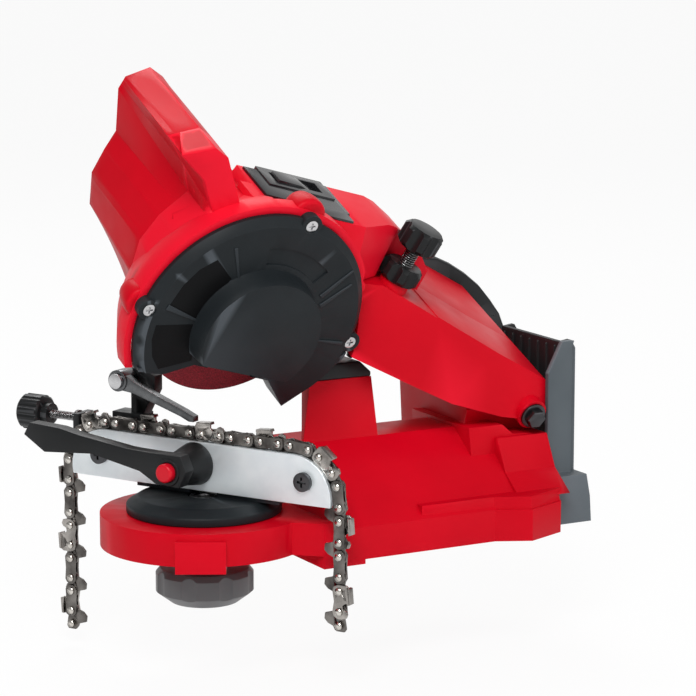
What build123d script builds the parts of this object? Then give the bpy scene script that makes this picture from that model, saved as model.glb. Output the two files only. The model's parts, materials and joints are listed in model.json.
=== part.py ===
from build123d import *
import math
import os

os.makedirs("parts", exist_ok=True)

# Bench saw-chain sharpener. Millimetres, +Z up, +X towards the battery tower at the rear,
# -Y towards the operator's right hand. The origin is the centre of the four bench screws
# on the underside of the base, and Z = 0 is the bench top.

# ---------------------------------------------------------------- driving dimensions
# Places
TABLE_X = -120.0          # turntable axis, from the bench-screw centre
WHEEL_X = 8.3             # wheel centre behind the turntable axis
WHEEL_Y = -22.0           # wheel centre, sideways
WHEEL_Z = 139.0           # wheel centre above the bench
HEAD_TILT = 24.0          # lean of the wheel plane from upright, degrees
VISE_ANGLE = 30.0         # filing angle of the vise at rest, degrees from square
SWIVEL_LIMIT = 35.0       # greatest filing angle either way, degrees

# Running and seating clearances
RUN = 0.10                # radial running clearance of shafts and pins
GAP = 0.30                # gap between bodies that pass each other
SEAT = 0.05               # gap of a piece seated in a housing

# Base casting
WALL = 3.5                # wall of the base moulding
RIB = 3.0                 # ribs under the base
FOOT_HALF = 61.0          # half width of the foot
FOOT_FRONT = 42.0         # where the foot flares out, behind the turntable axis
FOOT_REAR = 200.0         # rear end of the foot, behind the turntable axis
FOOT_H = 18.0             # height of the upright side of the foot
HEEL_FRONT = 104.0        # front of the higher heel
HEEL_H = 25.0             # height of the heel
HEEL_HALF = 70.0          # half width of the heel bulge
SHOULDER_HALF = 45.0      # half width at the shoulder crease
SHOULDER_Z = 32.0         # height of the shoulder crease
SADDLE_HALF = 15.0        # half width of the saddle top
SADDLE_Z = 57.0           # height of the saddle
RIDGE_FRONT = 48.0        # front end of the ridge under the saddle
RIDGE_REAR = 172.0        # where the ridge meets the upright
LOBE_R = 57.2             # round lobe under the turntable
LOBE_BOTTOM = 4.6         # underside of the lobe
LOBE_TOP = 22.5           # top of the lobe
NECK_HALF = 46.0          # half width of the neck behind the lobe
TOE_BOTTOM = 1.5          # underside of the block at the lobe's front
TOE_TOP = 19.0            # top of that block
TOE_W = 27.0              # its width
TOE_L = 17.0              # its length
TOE_TURN = math.radians(-118.0)   # its direction from the turntable axis
LIP_DROP = 2.6            # lip that hooks over the bench edge
BENCH_EDGE = 67.5         # bench edge, behind the turntable axis
BOLT_PITCH_X = 90.0       # bench screws, lengthways
BOLT_PITCH_Y = 96.0       # bench screws, sideways
INSERT_R = 4.5            # threaded insert, outer radius
INSERT_L = 13.0           # threaded insert, length
INSERT_BORE = 3.4         # radius of the M8 thread's tapping hole

# Stop pillar
PILLAR_TOP = 91.0         # top of the red pillar
REACH = 1000.0            # sheet wider than the whole machine
PILLAR_FRONT = 53.6       # foot of the pillar, front
PILLAR_REAR = 101.0       # foot of the pillar, rear
CAP_FRONT = 58.0          # cap, front end at its foot
CAP_REAR = 96.5           # cap, rear end at its foot
CAP_TOP = 102.5           # top of the cap

# Turntable
TABLE_R = 42.7            # turntable skirt
TABLE_BOTTOM = LOBE_TOP + GAP
TABLE_H = 8.6             # height of the turntable
TABLE_TOP_R = 36.0        # flat top face
BOLT_R = 4.0              # M8 clamp bolts

# Vise
RAIL_FRONT = 3.8          # outer face of the front plate, from the vise mid-plane
PLATE_T = 2.5             # thickness of each plate
PLATE_LOW = 34.0          # bottom edge of the plates
SCREW_SPREAD = 67.0       # plate screws, each side of the axis
SCREW_Z = 47.0            # plate screws, height
CLAMP_T = -3.0            # clamp bolt, along the vise
CLAMP_Z = 49.0            # clamp bolt, height

# Grinding head
WHEEL_R = 54.0            # grinding wheel, 108 mm across
WHEEL_T = 3.2             # grinding wheel, thickness
WHEEL_BORE = 11.1         # grinding wheel, bore radius
RING_R = 71.0             # guard ring, outer radius
RING_WALL = 4.0           # guard ring, wall
RING_FRONT = 17.0         # front face of the guard ring, before the wheel plane
RING_BACK = 14.0          # back wall of the guard ring, behind the wheel plane
RING_NECK = 62.0          # guard ring, outer radius at its back wall
RING_TURN = 7.0           # where the ring starts to narrow, before the wheel plane
COVER_R = 67.0            # cover plate
HUB_R = 37.0              # raised hub of the cover
SHELL = 3.0               # wall of the head shells
MOTOR_R = 24.0            # motor can
MOTOR_FRONT = 18.0        # front of the motor can, behind the wheel plane
MOTOR_L = 50.0            # length of the motor can
SHAFT_R = 5.0             # spindle
MOTOR_BACK = MOTOR_FRONT + MOTOR_L
HOUSING_END = 80.0        # far end of the motor housing, behind the wheel plane

# Arm
ARM_NEAR = -32.0          # near cheek
ARM_FAR = 60.0            # far cheek
ARM_SPLIT = 6.0           # joint plane of the two arm shells
BOX_DEPTH = 34.0          # depth of the front box, behind the wheel plane
PIVOT_X = 182.2           # arm pivot in the wheel plane, behind the wheel centre
PIVOT_V = -64.1           # arm pivot in the wheel plane, below the wheel centre
PIVOT_R = 3.0             # M6 pivot bolt
LUG_R = 9.0               # base lug around the pivot bolt
LUG_START = -30.0         # near end of the lug, behind the wheel plane
LUG_END = 52.0            # far end of the lug, behind the wheel plane
HEAD_LIFT = 25.0          # travel of the arm, degrees

# Depth screw
DEPTH_R = 4.0             # M8 depth screw
DEPTH_TIP = (79.0, -43.0)     # lower end of the depth screw in the wheel plane
DEPTH_TOP = (107.9, 33.5)     # middle of its knob in the wheel plane
KNOB_R = 12.0             # lobed knobs, outer radius

# Battery tower
TOWER_HALF = 31.5         # half width of the tower
TOWER_SETBACK = 10.5      # front of the tower, behind the foot
TOWER_T = 10.0            # depth of the tower
TOWER_TOP = 104.0         # top of the tower
TOWER_FRONT = FOOT_REAR + TOWER_SETBACK
TOWER_REAR = TOWER_FRONT + TOWER_T

# Saw chain, 3/8 inch low profile
PITCH_TIE = 11.4          # rivets of a tie strap
PITCH_DRIVE = 7.65        # rivets of a drive link
STRAP_T = 1.3             # strap thickness
DRIVE_T = 1.3             # drive link thickness
STRAP_R = 3.7             # half height of a strap
RIVET_R = 2.1             # rivet head
CHAIN_Z = 65.1            # rivet line over the plates
LEFT_BEND = 26.0          # rivet line's radius at the vise's far end
LEFT_T = -64.6            # centre of that bend along the vise
RIGHT_BEND = 27.6         # rivet line's radius at the vise's near end
RIGHT_T = 60.0            # centre of that bend along the vise
CHAIN_LOW = -61.0         # where the hanging chain starts at the far end
CHAIN_END = -37.0         # where it stops at the near end


# ---------------------------------------------------------------- planes
TILT = math.radians(HEAD_TILT)
HEAD_N = Vector(0, -math.cos(TILT), -math.sin(TILT))
HEAD_V = Vector(0, -math.sin(TILT), math.cos(TILT))
WHEEL_AT = Vector(TABLE_X + WHEEL_X, WHEEL_Y, WHEEL_Z)
VISE_TURN = math.radians(90.0 - VISE_ANGLE)
VISE_D = Vector(math.cos(VISE_TURN), -math.sin(VISE_TURN), 0)
VISE_N = Vector(-math.sin(VISE_TURN), -math.cos(VISE_TURN), 0)


def top_plane(height):
    """Level plane whose x starts at the turntable axis."""
    return Plane(origin=(TABLE_X, 0, height), x_dir=(1, 0, 0), z_dir=(0, 0, 1))


def side_plane(y):
    """Upright plane facing the operator's right; x from the turntable axis, y is height."""
    return Plane(origin=(TABLE_X, y, 0), x_dir=(1, 0, 0), z_dir=(0, -1, 0))


def cross_plane(x):
    """Upright plane across the base, facing the rear; x is sideways, y is height."""
    return Plane(origin=(TABLE_X + x, 0, 0), x_dir=(0, 1, 0), z_dir=(1, 0, 0))


def head_plane(front):
    """Plane parallel to the wheel, this far in front of its middle; origin on the spindle."""
    return Plane(origin=WHEEL_AT + HEAD_N * front, x_dir=(1, 0, 0), z_dir=HEAD_N)


def vise_plane(off):
    """Plane parallel to the vise plates, this far before the chain; y is height."""
    return Plane(origin=Vector(TABLE_X, 0, 0) + VISE_N * off, x_dir=VISE_D, z_dir=VISE_N)


def rail_plane(along):
    """Plane across the vise, facing its near end; x is off the chain, y is height."""
    return Plane(origin=Vector(TABLE_X, 0, 0) + VISE_D * along, x_dir=-VISE_N, z_dir=VISE_D)


def save(part, name):
    """Label a finished piece and write its STEP file."""
    part.label = name
    export_step(part, "parts/" + name + ".step")


def prism(plane, points, depth):
    """Extrude a polygon along the plane's normal, inside the current part."""
    with BuildSketch(plane) as outline:
        Polygon(*points)
    extrude(outline.sketch, amount=depth)


def cut_prism(plane, points, depth):
    """Cut a polygon along the plane's normal out of the current part."""
    with BuildSketch(plane) as outline:
        Polygon(*points)
    extrude(outline.sketch, amount=depth, mode=Mode.SUBTRACT)


def rod(plane, at, radius, depth):
    """Add a cylinder on a plane at a point."""
    with BuildSketch(plane) as disc:
        with Locations(at):
            Circle(radius)
    extrude(disc.sketch, amount=depth)


def bore(plane, at, radius, depth):
    """Cut a cylinder on a plane at a point."""
    with BuildSketch(plane) as disc:
        with Locations(at):
            Circle(radius)
    extrude(disc.sketch, amount=depth, mode=Mode.SUBTRACT)


def both_sides(points):
    """Close an outline given for the near side (negative y) with its mirror image."""
    return points + [(x, -y) for x, y in reversed(points)]


def slab(near, far, mode=Mode.INTERSECT):
    """Keep (or cut) what lies between two upright planes along the base."""
    with BuildSketch(side_plane(far)) as sheet:
        Rectangle(REACH, REACH)
    extrude(sheet.sketch, amount=far - near, mode=mode)


# ---------------------------------------------------------------- base housing
foot_near = [
    (FOOT_FRONT, -FOOT_HALF),
    (150.0, -FOOT_HALF),
    (169.0, -HEEL_HALF),
    (194.0, -60.0),
    (FOOT_REAR, -48.0),
]
heel_near = [(HEEL_FRONT, -FOOT_HALF + 2.0)] + [(x, y + 1.5) for x, y in foot_near[1:]]


def ridge_outline(inset, low):
    """Cross-section of the ridge, or of the hollow under it when inset by a wall."""
    half = [
        (FOOT_HALF - inset, low),
        (FOOT_HALF - inset, FOOT_H - inset),
        (SHOULDER_HALF - inset, SHOULDER_Z - inset),
        (SADDLE_HALF - inset, SADDLE_Z - inset),
    ]
    return half + [(-y, z) for y, z in reversed(half)]


neck_near = [(-8.0, -NECK_HALF), (24.0, -NECK_HALF), (FOOT_FRONT, -FOOT_HALF), (60.0, -FOOT_HALF)]
pillar_foot = [(PILLAR_FRONT, SADDLE_Z - 1.0), (PILLAR_REAR, SADDLE_Z - 1.0)]
pillar_side = pillar_foot + [(CAP_REAR, PILLAR_TOP), (CAP_FRONT, PILLAR_TOP)]
upright_side = [
    (148.0, 12.0),
    (152.0, 40.0),
    (150.0, 59.0),
    (172.0, 59.0),
    (179.0, 53.0),
    (195.0, 52.0),
    (FOOT_REAR, 36.5),
    (FOOT_REAR, 12.0),
]
FLARE_FRONT = 167.0       # front of the upright's flared sides
upright_flare = [(-60.0, 22.0), (-44.0, 34.0), (-35.0, 52.0), (35.0, 52.0), (44.0, 34.0), (60.0, 22.0)]
LUG_ROOT = -135.0         # bottom of the lug's sketch, well inside the base
lug_face = [
    (150.0, LUG_ROOT),
    (147.0, -80.0),
    (146.0, -65.0),
    (164.0, -61.0),
    (PIVOT_X - LUG_R, PIVOT_V),
    (PIVOT_X + LUG_R, PIVOT_V),
    (191.0, -82.0),
    (FOOT_REAR - WHEEL_X - 0.7, LUG_ROOT),
]
SPIGOT_R = 13.0           # turntable spigot
bench_holes = [
    (sx * BOLT_PITCH_X / 2 - TABLE_X, sy * BOLT_PITCH_Y / 2)
    for sx in (-1, 1)
    for sy in (-1, 1)
]
bays = [(54.0, 72.0), (78.0 + RIB, 98.0), (98.0 + RIB, 121.0), (121.0 + RIB, 144.0)]
heel_bays = [(152.0, 172.0), (172.0 + RIB, 193.0)]
BEHIND = 120.0            # length of a sketch pushed right through the head
toe_dir = (math.cos(TOE_TURN), math.sin(TOE_TURN), 0)
toe_plane = Plane(origin=(TABLE_X, 0, TOE_BOTTOM), x_dir=toe_dir, z_dir=(0, 0, 1))
corner = SADDLE_HALF + 1.0
pillar_corner = [(40.0, -corner), (52.0, -corner), (70.0, corner), (40.0, corner)]

with BuildPart() as lug:
    prism(head_plane(-LUG_START), lug_face, LUG_START - LUG_END)
    rod(head_plane(-LUG_START), (PIVOT_X, PIVOT_V), LUG_R, LUG_START - LUG_END)
    slab(ARM_NEAR, ARM_FAR - SHELL - GAP)
    with BuildSketch(top_plane(HEEL_H - WALL)) as above_heel:
        Rectangle(REACH, REACH)
    extrude(above_heel.sketch, amount=BEHIND, mode=Mode.INTERSECT)

with BuildPart() as base_housing:
    prism(top_plane(0), both_sides(foot_near), FOOT_H)
    prism(top_plane(0), both_sides(heel_near), HEEL_H)
    prism(cross_plane(RIDGE_FRONT), ridge_outline(0, FOOT_H - WALL), RIDGE_REAR - RIDGE_FRONT)
    prism(side_plane(-ARM_NEAR), upright_side, -2 * ARM_NEAR)
    prism(cross_plane(FLARE_FRONT), upright_flare, FOOT_REAR - FLARE_FRONT)
    # pillar under the depth screw
    prism(side_plane(SADDLE_HALF), pillar_side, 2 * SADDLE_HALF)
    # lobe and neck under the turntable
    with BuildSketch(top_plane(LOBE_BOTTOM)) as lobe:
        Circle(LOBE_R)
        Polygon(*both_sides(neck_near))
    extrude(lobe.sketch, amount=LOBE_TOP - LOBE_BOTTOM)
    # block on the lobe's front corner, beside the knob
    with BuildSketch(toe_plane) as toe:
        with Locations((LOBE_R - 6.0, 0)):
            Rectangle(TOE_L, TOE_W)
    extrude(toe.sketch, amount=TOE_TOP - TOE_BOTTOM)
    add(lug.part)
    # lip that hooks over the bench edge
    lip = [(FOOT_FRONT, -LIP_DROP), (BENCH_EDGE, -LIP_DROP), (BENCH_EDGE, 1.0), (FOOT_FRONT, 1.0)]
    prism(side_plane(FOOT_HALF), lip, 2 * FOOT_HALF)
    # hollow underside, with ribs left between the bays
    for start, end in bays:
        cut_prism(cross_plane(start), ridge_outline(WALL, -LIP_DROP - 1.0), end - start)
    for start, end in heel_bays:
        with BuildSketch(top_plane(-1.0)) as bay:
            with Locations(((start + end) / 2, 0)):
                Rectangle(end - start, 2 * (FOOT_HALF - 2 * WALL))
        extrude(bay.sketch, amount=HEEL_H - WALL + 1.0, mode=Mode.SUBTRACT)
    pillar_core = [(76.0, 40.0), (94.0, 40.0), (91.0, 84.0), (76.0, 84.0)]
    cut_prism(side_plane(SADDLE_HALF - WALL), pillar_core, 2 * (SADDLE_HALF - WALL))
    # the pillar's front face looks towards the vise
    cut_prism(top_plane(SADDLE_Z), pillar_corner, PILLAR_TOP - SADDLE_Z + 1.0)
    with BuildSketch(top_plane(LOBE_BOTTOM)) as pockets:
        Circle(LOBE_R - WALL)
        Circle(SPIGOT_R + 2 * WALL, mode=Mode.SUBTRACT)
        with Locations((LOBE_R / 2 + 20.0, 0)):
            Rectangle(LOBE_R, 2 * LOBE_R, mode=Mode.SUBTRACT)
        with PolarLocations(LOBE_R / 2, 8):
            Rectangle(LOBE_R, RIB, mode=Mode.SUBTRACT)
    extrude(pockets.sketch, amount=LOBE_TOP - LOBE_BOTTOM - WALL, mode=Mode.SUBTRACT)
    # round seat of the turntable, and its spigot bore
    bore(top_plane(LOBE_TOP), (0, 0), TABLE_R + 2.0, 30.0)
    bore(top_plane(0), (0, 0), SPIGOT_R + RUN, LOBE_TOP + 1.0)
    # bosses and holes of the bench screws
    for at in bench_holes:
        rod(top_plane(0), at, INSERT_R + WALL, INSERT_L + WALL)
        bore(top_plane(0), at, INSERT_R + SEAT, INSERT_L + SEAT)
    # pivot bolt bore through the lug
    bore(head_plane(BEHIND / 2), (PIVOT_X, PIVOT_V), PIVOT_R + 2.0 + SEAT, -BEHIND * 1.3)
save(base_housing.part, "base_housing")

# ---------------------------------------------------------------- base fittings
with BuildPart() as bench_inserts:
    for at in bench_holes:
        rod(top_plane(0), at, INSERT_R, INSERT_L)
        bore(top_plane(0), at, INSERT_BORE, INSERT_L)
save(bench_inserts.part, "bench_inserts")

cap_side = [
    (CAP_FRONT, PILLAR_TOP + SEAT),
    (CAP_REAR, PILLAR_TOP + SEAT),
    (CAP_REAR, PILLAR_TOP + 2.5),
    (CAP_REAR - 7.0, CAP_TOP - 2.5),
    (CAP_FRONT + 13.5, CAP_TOP - 2.5),
    (CAP_FRONT + 2.0, PILLAR_TOP + 2.5),
]
with BuildPart() as pillar_cap:
    prism(side_plane(SADDLE_HALF), cap_side, 2 * SADDLE_HALF)
    cut_prism(top_plane(PILLAR_TOP), pillar_corner, CAP_TOP - PILLAR_TOP)
save(pillar_cap.part, "pillar_cap")

# ---------------------------------------------------------------- battery tower
TOWER_FOOT_HALF = 46.0    # half width of the tower's foot
TOWER_FOOT_STEP = 3.5     # step of the tower's foot, behind the tower
TOWER_FOOT_REAR = TOWER_REAR + TOWER_FOOT_STEP
TOWER_JOINT = FOOT_REAR + SEAT
CHEEK = 3.5               # near side wall, which runs on to the base
CHEEK_OUT = -36.0         # outer face of that wall
POCKET_WALL = 2.5         # wall in front of the pocket for the battery slide
POCKET_FRONT = TOWER_FRONT + POCKET_WALL
POCKET_LOW = 34.0         # lower end of that pocket
POCKET_HALF = 28.5        # half width of that pocket
tower_foot = [
    (TOWER_JOINT, 0.0),
    (TOWER_FOOT_REAR, 0.0),
    (TOWER_FOOT_REAR - 1.0, 15.0),
    (TOWER_REAR, 28.0),
    (TOWER_JOINT, 28.0),
]
tower_core = [
    (TOWER_JOINT, 26.0),
    (TOWER_FRONT, 44.0),
    (TOWER_FRONT, TOWER_TOP - 1.0),
    (TOWER_FRONT + 7.0, TOWER_TOP),
    (TOWER_REAR, TOWER_TOP - 5.0),
    (TOWER_REAR, 26.0),
]
tower_cheek = [
    (TOWER_JOINT, 26.0),
    (TOWER_JOINT, 86.0),
    (TOWER_FRONT - 1.0, TOWER_TOP),
    (TOWER_FRONT + 7.0, TOWER_TOP),
    (TOWER_REAR - 4.5, TOWER_TOP - 4.0),
    (TOWER_REAR - 4.5, 26.0),
]
FIN_PITCH = 9.0           # ribs on the tower's front
FIN_W = 1.2
fin_side = [
    (TOWER_FRONT - 1.0, 60.0),
    (TOWER_FRONT + 1.0, 58.0),
    (TOWER_FRONT + 1.0, 101.0),
    (TOWER_FRONT - 1.0, 100.0),
]
pocket = [
    (-POCKET_HALF, POCKET_LOW),
    (POCKET_HALF, POCKET_LOW),
    (POCKET_HALF, TOWER_TOP + 5.0),
    (-POCKET_HALF, TOWER_TOP + 5.0),
]
wiring = [
    (TOWER_JOINT - 1.0, 4.0),
    (TOWER_REAR - 3.0, 4.0),
    (TOWER_REAR - 3.0, POCKET_LOW - 4.0),
    (TOWER_JOINT - 1.0, 22.0),
]
with BuildPart() as battery_tower:
    prism(side_plane(TOWER_FOOT_HALF), tower_foot, 2 * TOWER_FOOT_HALF)
    prism(side_plane(TOWER_HALF), tower_core, 2 * TOWER_HALF)
    prism(side_plane(CHEEK_OUT + CHEEK), tower_cheek, CHEEK)
    prism(side_plane(-TOWER_HALF + 1.0), tower_core, 1.0 - TOWER_HALF - CHEEK_OUT - CHEEK)
    for fin in range(-3, 4):
        prism(side_plane(fin * FIN_PITCH + FIN_W), fin_side, FIN_W)
    # pocket at the rear for the battery slide
    cut_prism(cross_plane(POCKET_FRONT), pocket, TOWER_REAR)
    # hollow for the wiring, open to the front recess of the base
    cut_prism(side_plane(TOWER_HALF - CHEEK), wiring, 2 * (TOWER_HALF - CHEEK))
save(battery_tower.part, "battery_tower")

PLATE_HALF = 24.0         # half width of the battery slide
SLIDE_LOW = 36.0          # lower end of the battery slide
SLIDE_HIGH = 96.0         # upper end of the battery slide
BACKING = 1.5             # thickness of its backing plate
RAIL_GROOVE = 3.0         # depth of the groove the battery hooks into
RAIL_LIP = 2.0            # thickness of the lips in front of that groove
SLIDE_AT = POCKET_FRONT + SEAT
plate_edge = [
    (-PLATE_HALF, SLIDE_LOW),
    (PLATE_HALF, SLIDE_LOW),
    (PLATE_HALF, SLIDE_HIGH),
    (-PLATE_HALF, SLIDE_HIGH),
]
runner_steps = [
    (PLATE_HALF, BACKING / 2, BACKING / 2 + RAIL_GROOVE),
    (PLATE_HALF + 3.0, BACKING + RAIL_GROOVE, RAIL_LIP),
]
with BuildPart() as battery_slide:
    prism(cross_plane(SLIDE_AT), plate_edge, BACKING)
    # T-shaped runners on both sides
    for side in (-1, 1):
        inner_edge = side * (PLATE_HALF - 6.0)
        for outer, start, depth in runner_steps:
            edge = [(inner_edge, SLIDE_LOW), (side * outer, SLIDE_LOW), (side * outer, SLIDE_HIGH - 4.0)]
            edge = edge + [(inner_edge, SLIDE_HIGH - 4.0)]
            prism(cross_plane(SLIDE_AT + start), edge, depth)
save(battery_slide.part, "battery_slide")

BLADE_PITCH = 8.0         # spacing of the battery contacts
with BuildPart() as battery_terminals:
    for column in (-1.5, -0.5, 0.5, 1.5):
        blade = [(column * BLADE_PITCH - 0.4, 66.0), (column * BLADE_PITCH + 0.4, 66.0)]
        blade = blade + [(column * BLADE_PITCH + 0.4, 84.0), (column * BLADE_PITCH - 0.4, 84.0)]
        prism(cross_plane(SLIDE_AT + BACKING + SEAT), blade, 5.0)
save(battery_terminals.part, "battery_terminals")

# ---------------------------------------------------------------- turntable
with BuildPart() as turntable:
    with BuildSketch(Plane(origin=(TABLE_X, 0, 0), x_dir=(1, 0, 0), z_dir=(0, -1, 0))) as half:
        Polygon(
            (BOLT_R + SEAT, LOBE_BOTTOM),
            (SPIGOT_R, LOBE_BOTTOM),
            (SPIGOT_R, TABLE_BOTTOM),
            (TABLE_R, TABLE_BOTTOM),
            (TABLE_R, TABLE_BOTTOM + 4.4),
            (TABLE_TOP_R, TABLE_BOTTOM + TABLE_H),
            (BOLT_R + SEAT, TABLE_BOTTOM + TABLE_H),
        )
    revolve(half.sketch, axis=Axis((TABLE_X, 0, 0), (0, 0, 1)))
    # square recess that holds the carriage bolt's neck
    bore(top_plane(TABLE_BOTTOM + TABLE_H - 3.0), (0, 0), 9.0, 3.0)
save(turntable.part, "turntable")

TABLE_TOP = TABLE_BOTTOM + TABLE_H
SWIVEL_BOLT_LOW = -22.0   # lower end of the swivel bolt
with BuildPart() as swivel_bolt:
    rod(top_plane(SWIVEL_BOLT_LOW), (0, 0), BOLT_R, TABLE_TOP - 2.0 - SWIVEL_BOLT_LOW)
    rod(top_plane(TABLE_TOP - 3.0 + SEAT), (0, 0), 8.0, 2.6)
    bore(top_plane(TABLE_TOP - 1.4), (0, 0), 2.5, 1.4)
save(swivel_bolt.part, "swivel_bolt")

CLAMP_KNOB_R = 27.0       # knob under the lobe
CLAMP_KNOB_TOP = -9.0
CLAMP_KNOB_LOW = -28.0
with BuildPart() as swivel_washer:
    rod(top_plane(LOBE_BOTTOM - GAP - 2.0), (0, 0), 16.0, 2.0)
    bore(top_plane(LOBE_BOTTOM - GAP - 2.0), (0, 0), BOLT_R + RUN, 2.0)
save(swivel_washer.part, "swivel_washer")

with BuildPart() as swivel_knob:
    with BuildSketch(Plane(origin=(TABLE_X, 0, 0), x_dir=(1, 0, 0), z_dir=(0, -1, 0))) as half:
        Polygon(
            (BOLT_R + RUN, CLAMP_KNOB_LOW + 5.0),
            (BOLT_R + 3.0, CLAMP_KNOB_LOW + 5.0),
            (BOLT_R + 3.0, CLAMP_KNOB_LOW),
            (CLAMP_KNOB_R - 8.0, CLAMP_KNOB_LOW),
            (CLAMP_KNOB_R, CLAMP_KNOB_LOW + 6.0),
            (CLAMP_KNOB_R, CLAMP_KNOB_TOP - 3.0),
            (CLAMP_KNOB_R - 2.5, CLAMP_KNOB_TOP),
            (11.0, CLAMP_KNOB_TOP),
            (11.0, LOBE_BOTTOM - 2 * GAP - 2.0),
            (BOLT_R + RUN, LOBE_BOTTOM - 2 * GAP - 2.0),
        )
    revolve(half.sketch, axis=Axis((TABLE_X, 0, 0), (0, 0, 1)))
    # finger scallops round the rim
    with BuildSketch(top_plane(CLAMP_KNOB_LOW)) as scallops:
        with PolarLocations(CLAMP_KNOB_R + 6.5, 8):
            Circle(8.0)
    extrude(scallops.sketch, amount=CLAMP_KNOB_TOP - CLAMP_KNOB_LOW, mode=Mode.SUBTRACT)
save(swivel_knob.part, "swivel_knob")

# ---------------------------------------------------------------- vise
BRACKET_LEFT = -44.0      # far end of the bracket
BRACKET_RIGHT = 47.0      # near end of the bracket
BRACKET_TOP = 39.5        # ledge the plates stand on
RAIL_GAP = RAIL_FRONT - PLATE_T   # half the slot between the plates
bracket_side = [
    (BRACKET_LEFT, TABLE_TOP + SEAT),
    (BRACKET_LEFT, BRACKET_TOP),
    (BRACKET_RIGHT, BRACKET_TOP),
    (BRACKET_RIGHT + 4.0, BRACKET_TOP - 5.0),
    (BRACKET_RIGHT + 2.0, TABLE_TOP + SEAT),
]
BRACKET_BACK = 9.0        # rear face of the bracket's foot, behind the chain
BRACKET_FRONT = 1.0       # its front face, hidden behind the front plate
HUB_BIG = 12.0            # radius of the lever hub at the plate
FLANGE_BACK = 10.0        # rear face of the bracket's upright flange, behind the chain
flange_side = [(-38.0, BRACKET_TOP - 1), (38.0, BRACKET_TOP - 1), (34.0, 57.0), (-34.0, 57.0)]
with BuildPart() as vise_bracket:
    prism(vise_plane(-BRACKET_BACK), bracket_side, BRACKET_BACK + BRACKET_FRONT)
    prism(vise_plane(-FLANGE_BACK), flange_side, FLANGE_BACK - RAIL_FRONT - SEAT)
    bore(vise_plane(-FLANGE_BACK), (CLAMP_T, CLAMP_Z), BOLT_R + RUN, FLANGE_BACK)
    bore(top_plane(TABLE_TOP), (0, 0), 9.0, 5.0)
save(vise_bracket.part, "vise_bracket")


def bend(centre_t, radius, start, end):
    """Points along a bend of the rivet line, angles in degrees."""
    centre_z = CHAIN_Z - LEFT_BEND if centre_t < 0 else CHAIN_Z - RIGHT_BEND
    steps = 10
    points = []
    for step in range(steps + 1):
        turn = math.radians(start + (end - start) * step / steps)
        points.append((centre_t + radius * math.cos(turn), centre_z + radius * math.sin(turn)))
    return points


plate_notch = [
    (BRACKET_LEFT - 4.0, PLATE_LOW),
    (BRACKET_LEFT - 2.0, BRACKET_TOP + SEAT),
    (BRACKET_RIGHT + 4.0, BRACKET_TOP + SEAT),
    (BRACKET_RIGHT + 8.0, PLATE_LOW),
]
plate_profile = bend(RIGHT_T, RIGHT_BEND - STRAP_R - GAP, -8.0, 90.0)
plate_profile = plate_profile + bend(LEFT_T, LEFT_BEND - STRAP_R - GAP, 90.0, 193.0)


def vise_plate(back, low_edge):
    """One plate of the vise, its rear face at this distance before the chain."""
    with BuildPart() as plate:
        prism(vise_plane(back), low_edge + plate_profile, PLATE_T)
        bore(vise_plane(back), (CLAMP_T, CLAMP_Z), BOLT_R + RUN, PLATE_T)
        for side in (-1, 1):
            bore(vise_plane(back), (side * SCREW_SPREAD, SCREW_Z), 2.0 + SEAT, PLATE_T)
    return plate.part


save(vise_plate(RAIL_GAP, [plate_notch[0], plate_notch[-1]]), "front_plate")
save(vise_plate(-RAIL_FRONT, plate_notch), "back_plate")

STOP_WEB = 2.5            # web of the chain-stop bracket, held by the far plate screw


def screw_back(side):
    """Rear seat of a plate screw's nut, behind the chain."""
    return RAIL_FRONT + SEAT if side > 0 else RAIL_FRONT + 2 * SEAT + STOP_WEB


with BuildPart() as plate_screws:
    for side in (-1, 1):
        at = (side * SCREW_SPREAD, SCREW_Z)
        tail = screw_back(side) + 3.5
        rod(vise_plane(-tail), at, 2.0, tail + RAIL_FRONT + SEAT)
        rod(vise_plane(RAIL_FRONT + SEAT), at, 5.2, 2.6)
        with BuildSketch(vise_plane(RAIL_FRONT + 1.2)) as cross_slot:
            with Locations(at):
                Rectangle(5.6, 1.3)
                Rectangle(1.3, 5.6)
        extrude(cross_slot.sketch, amount=2.0, mode=Mode.SUBTRACT)
save(plate_screws.part, "plate_screws")

with BuildPart() as plate_spacers:
    for side in (-1, 1):
        at = (side * SCREW_SPREAD, SCREW_Z)
        rod(vise_plane(-RAIL_GAP + SEAT), at, 5.0, 2 * (RAIL_GAP - SEAT))
        bore(vise_plane(-RAIL_GAP), at, 2.0 + SEAT, 2 * RAIL_GAP)
save(plate_spacers.part, "plate_spacers")

with BuildPart() as plate_nuts:
    for side in (-1, 1):
        with BuildSketch(vise_plane(-screw_back(side))) as hexagon:
            with Locations((side * SCREW_SPREAD, SCREW_Z)):
                RegularPolygon(4.0, 6)
                Circle(2.0 + SEAT, mode=Mode.SUBTRACT)
        extrude(hexagon.sketch, amount=-3.0)
save(plate_nuts.part, "plate_nuts")

CLAMP_TAIL = FLANGE_BACK + 4.5    # head of the clamp bolt behind the flange
BUTTON_FACE = 36.0        # face of the lever's button
with BuildPart() as clamp_bolt:
    rod(vise_plane(-CLAMP_TAIL), (CLAMP_T, CLAMP_Z), BOLT_R, CLAMP_TAIL + 24.5)
    with BuildSketch(vise_plane(-FLANGE_BACK - SEAT)) as hexagon:
        with Locations((CLAMP_T, CLAMP_Z)):
            RegularPolygon(7.5, 6)
    extrude(hexagon.sketch, amount=-4.4)
save(clamp_bolt.part, "clamp_bolt")

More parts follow.
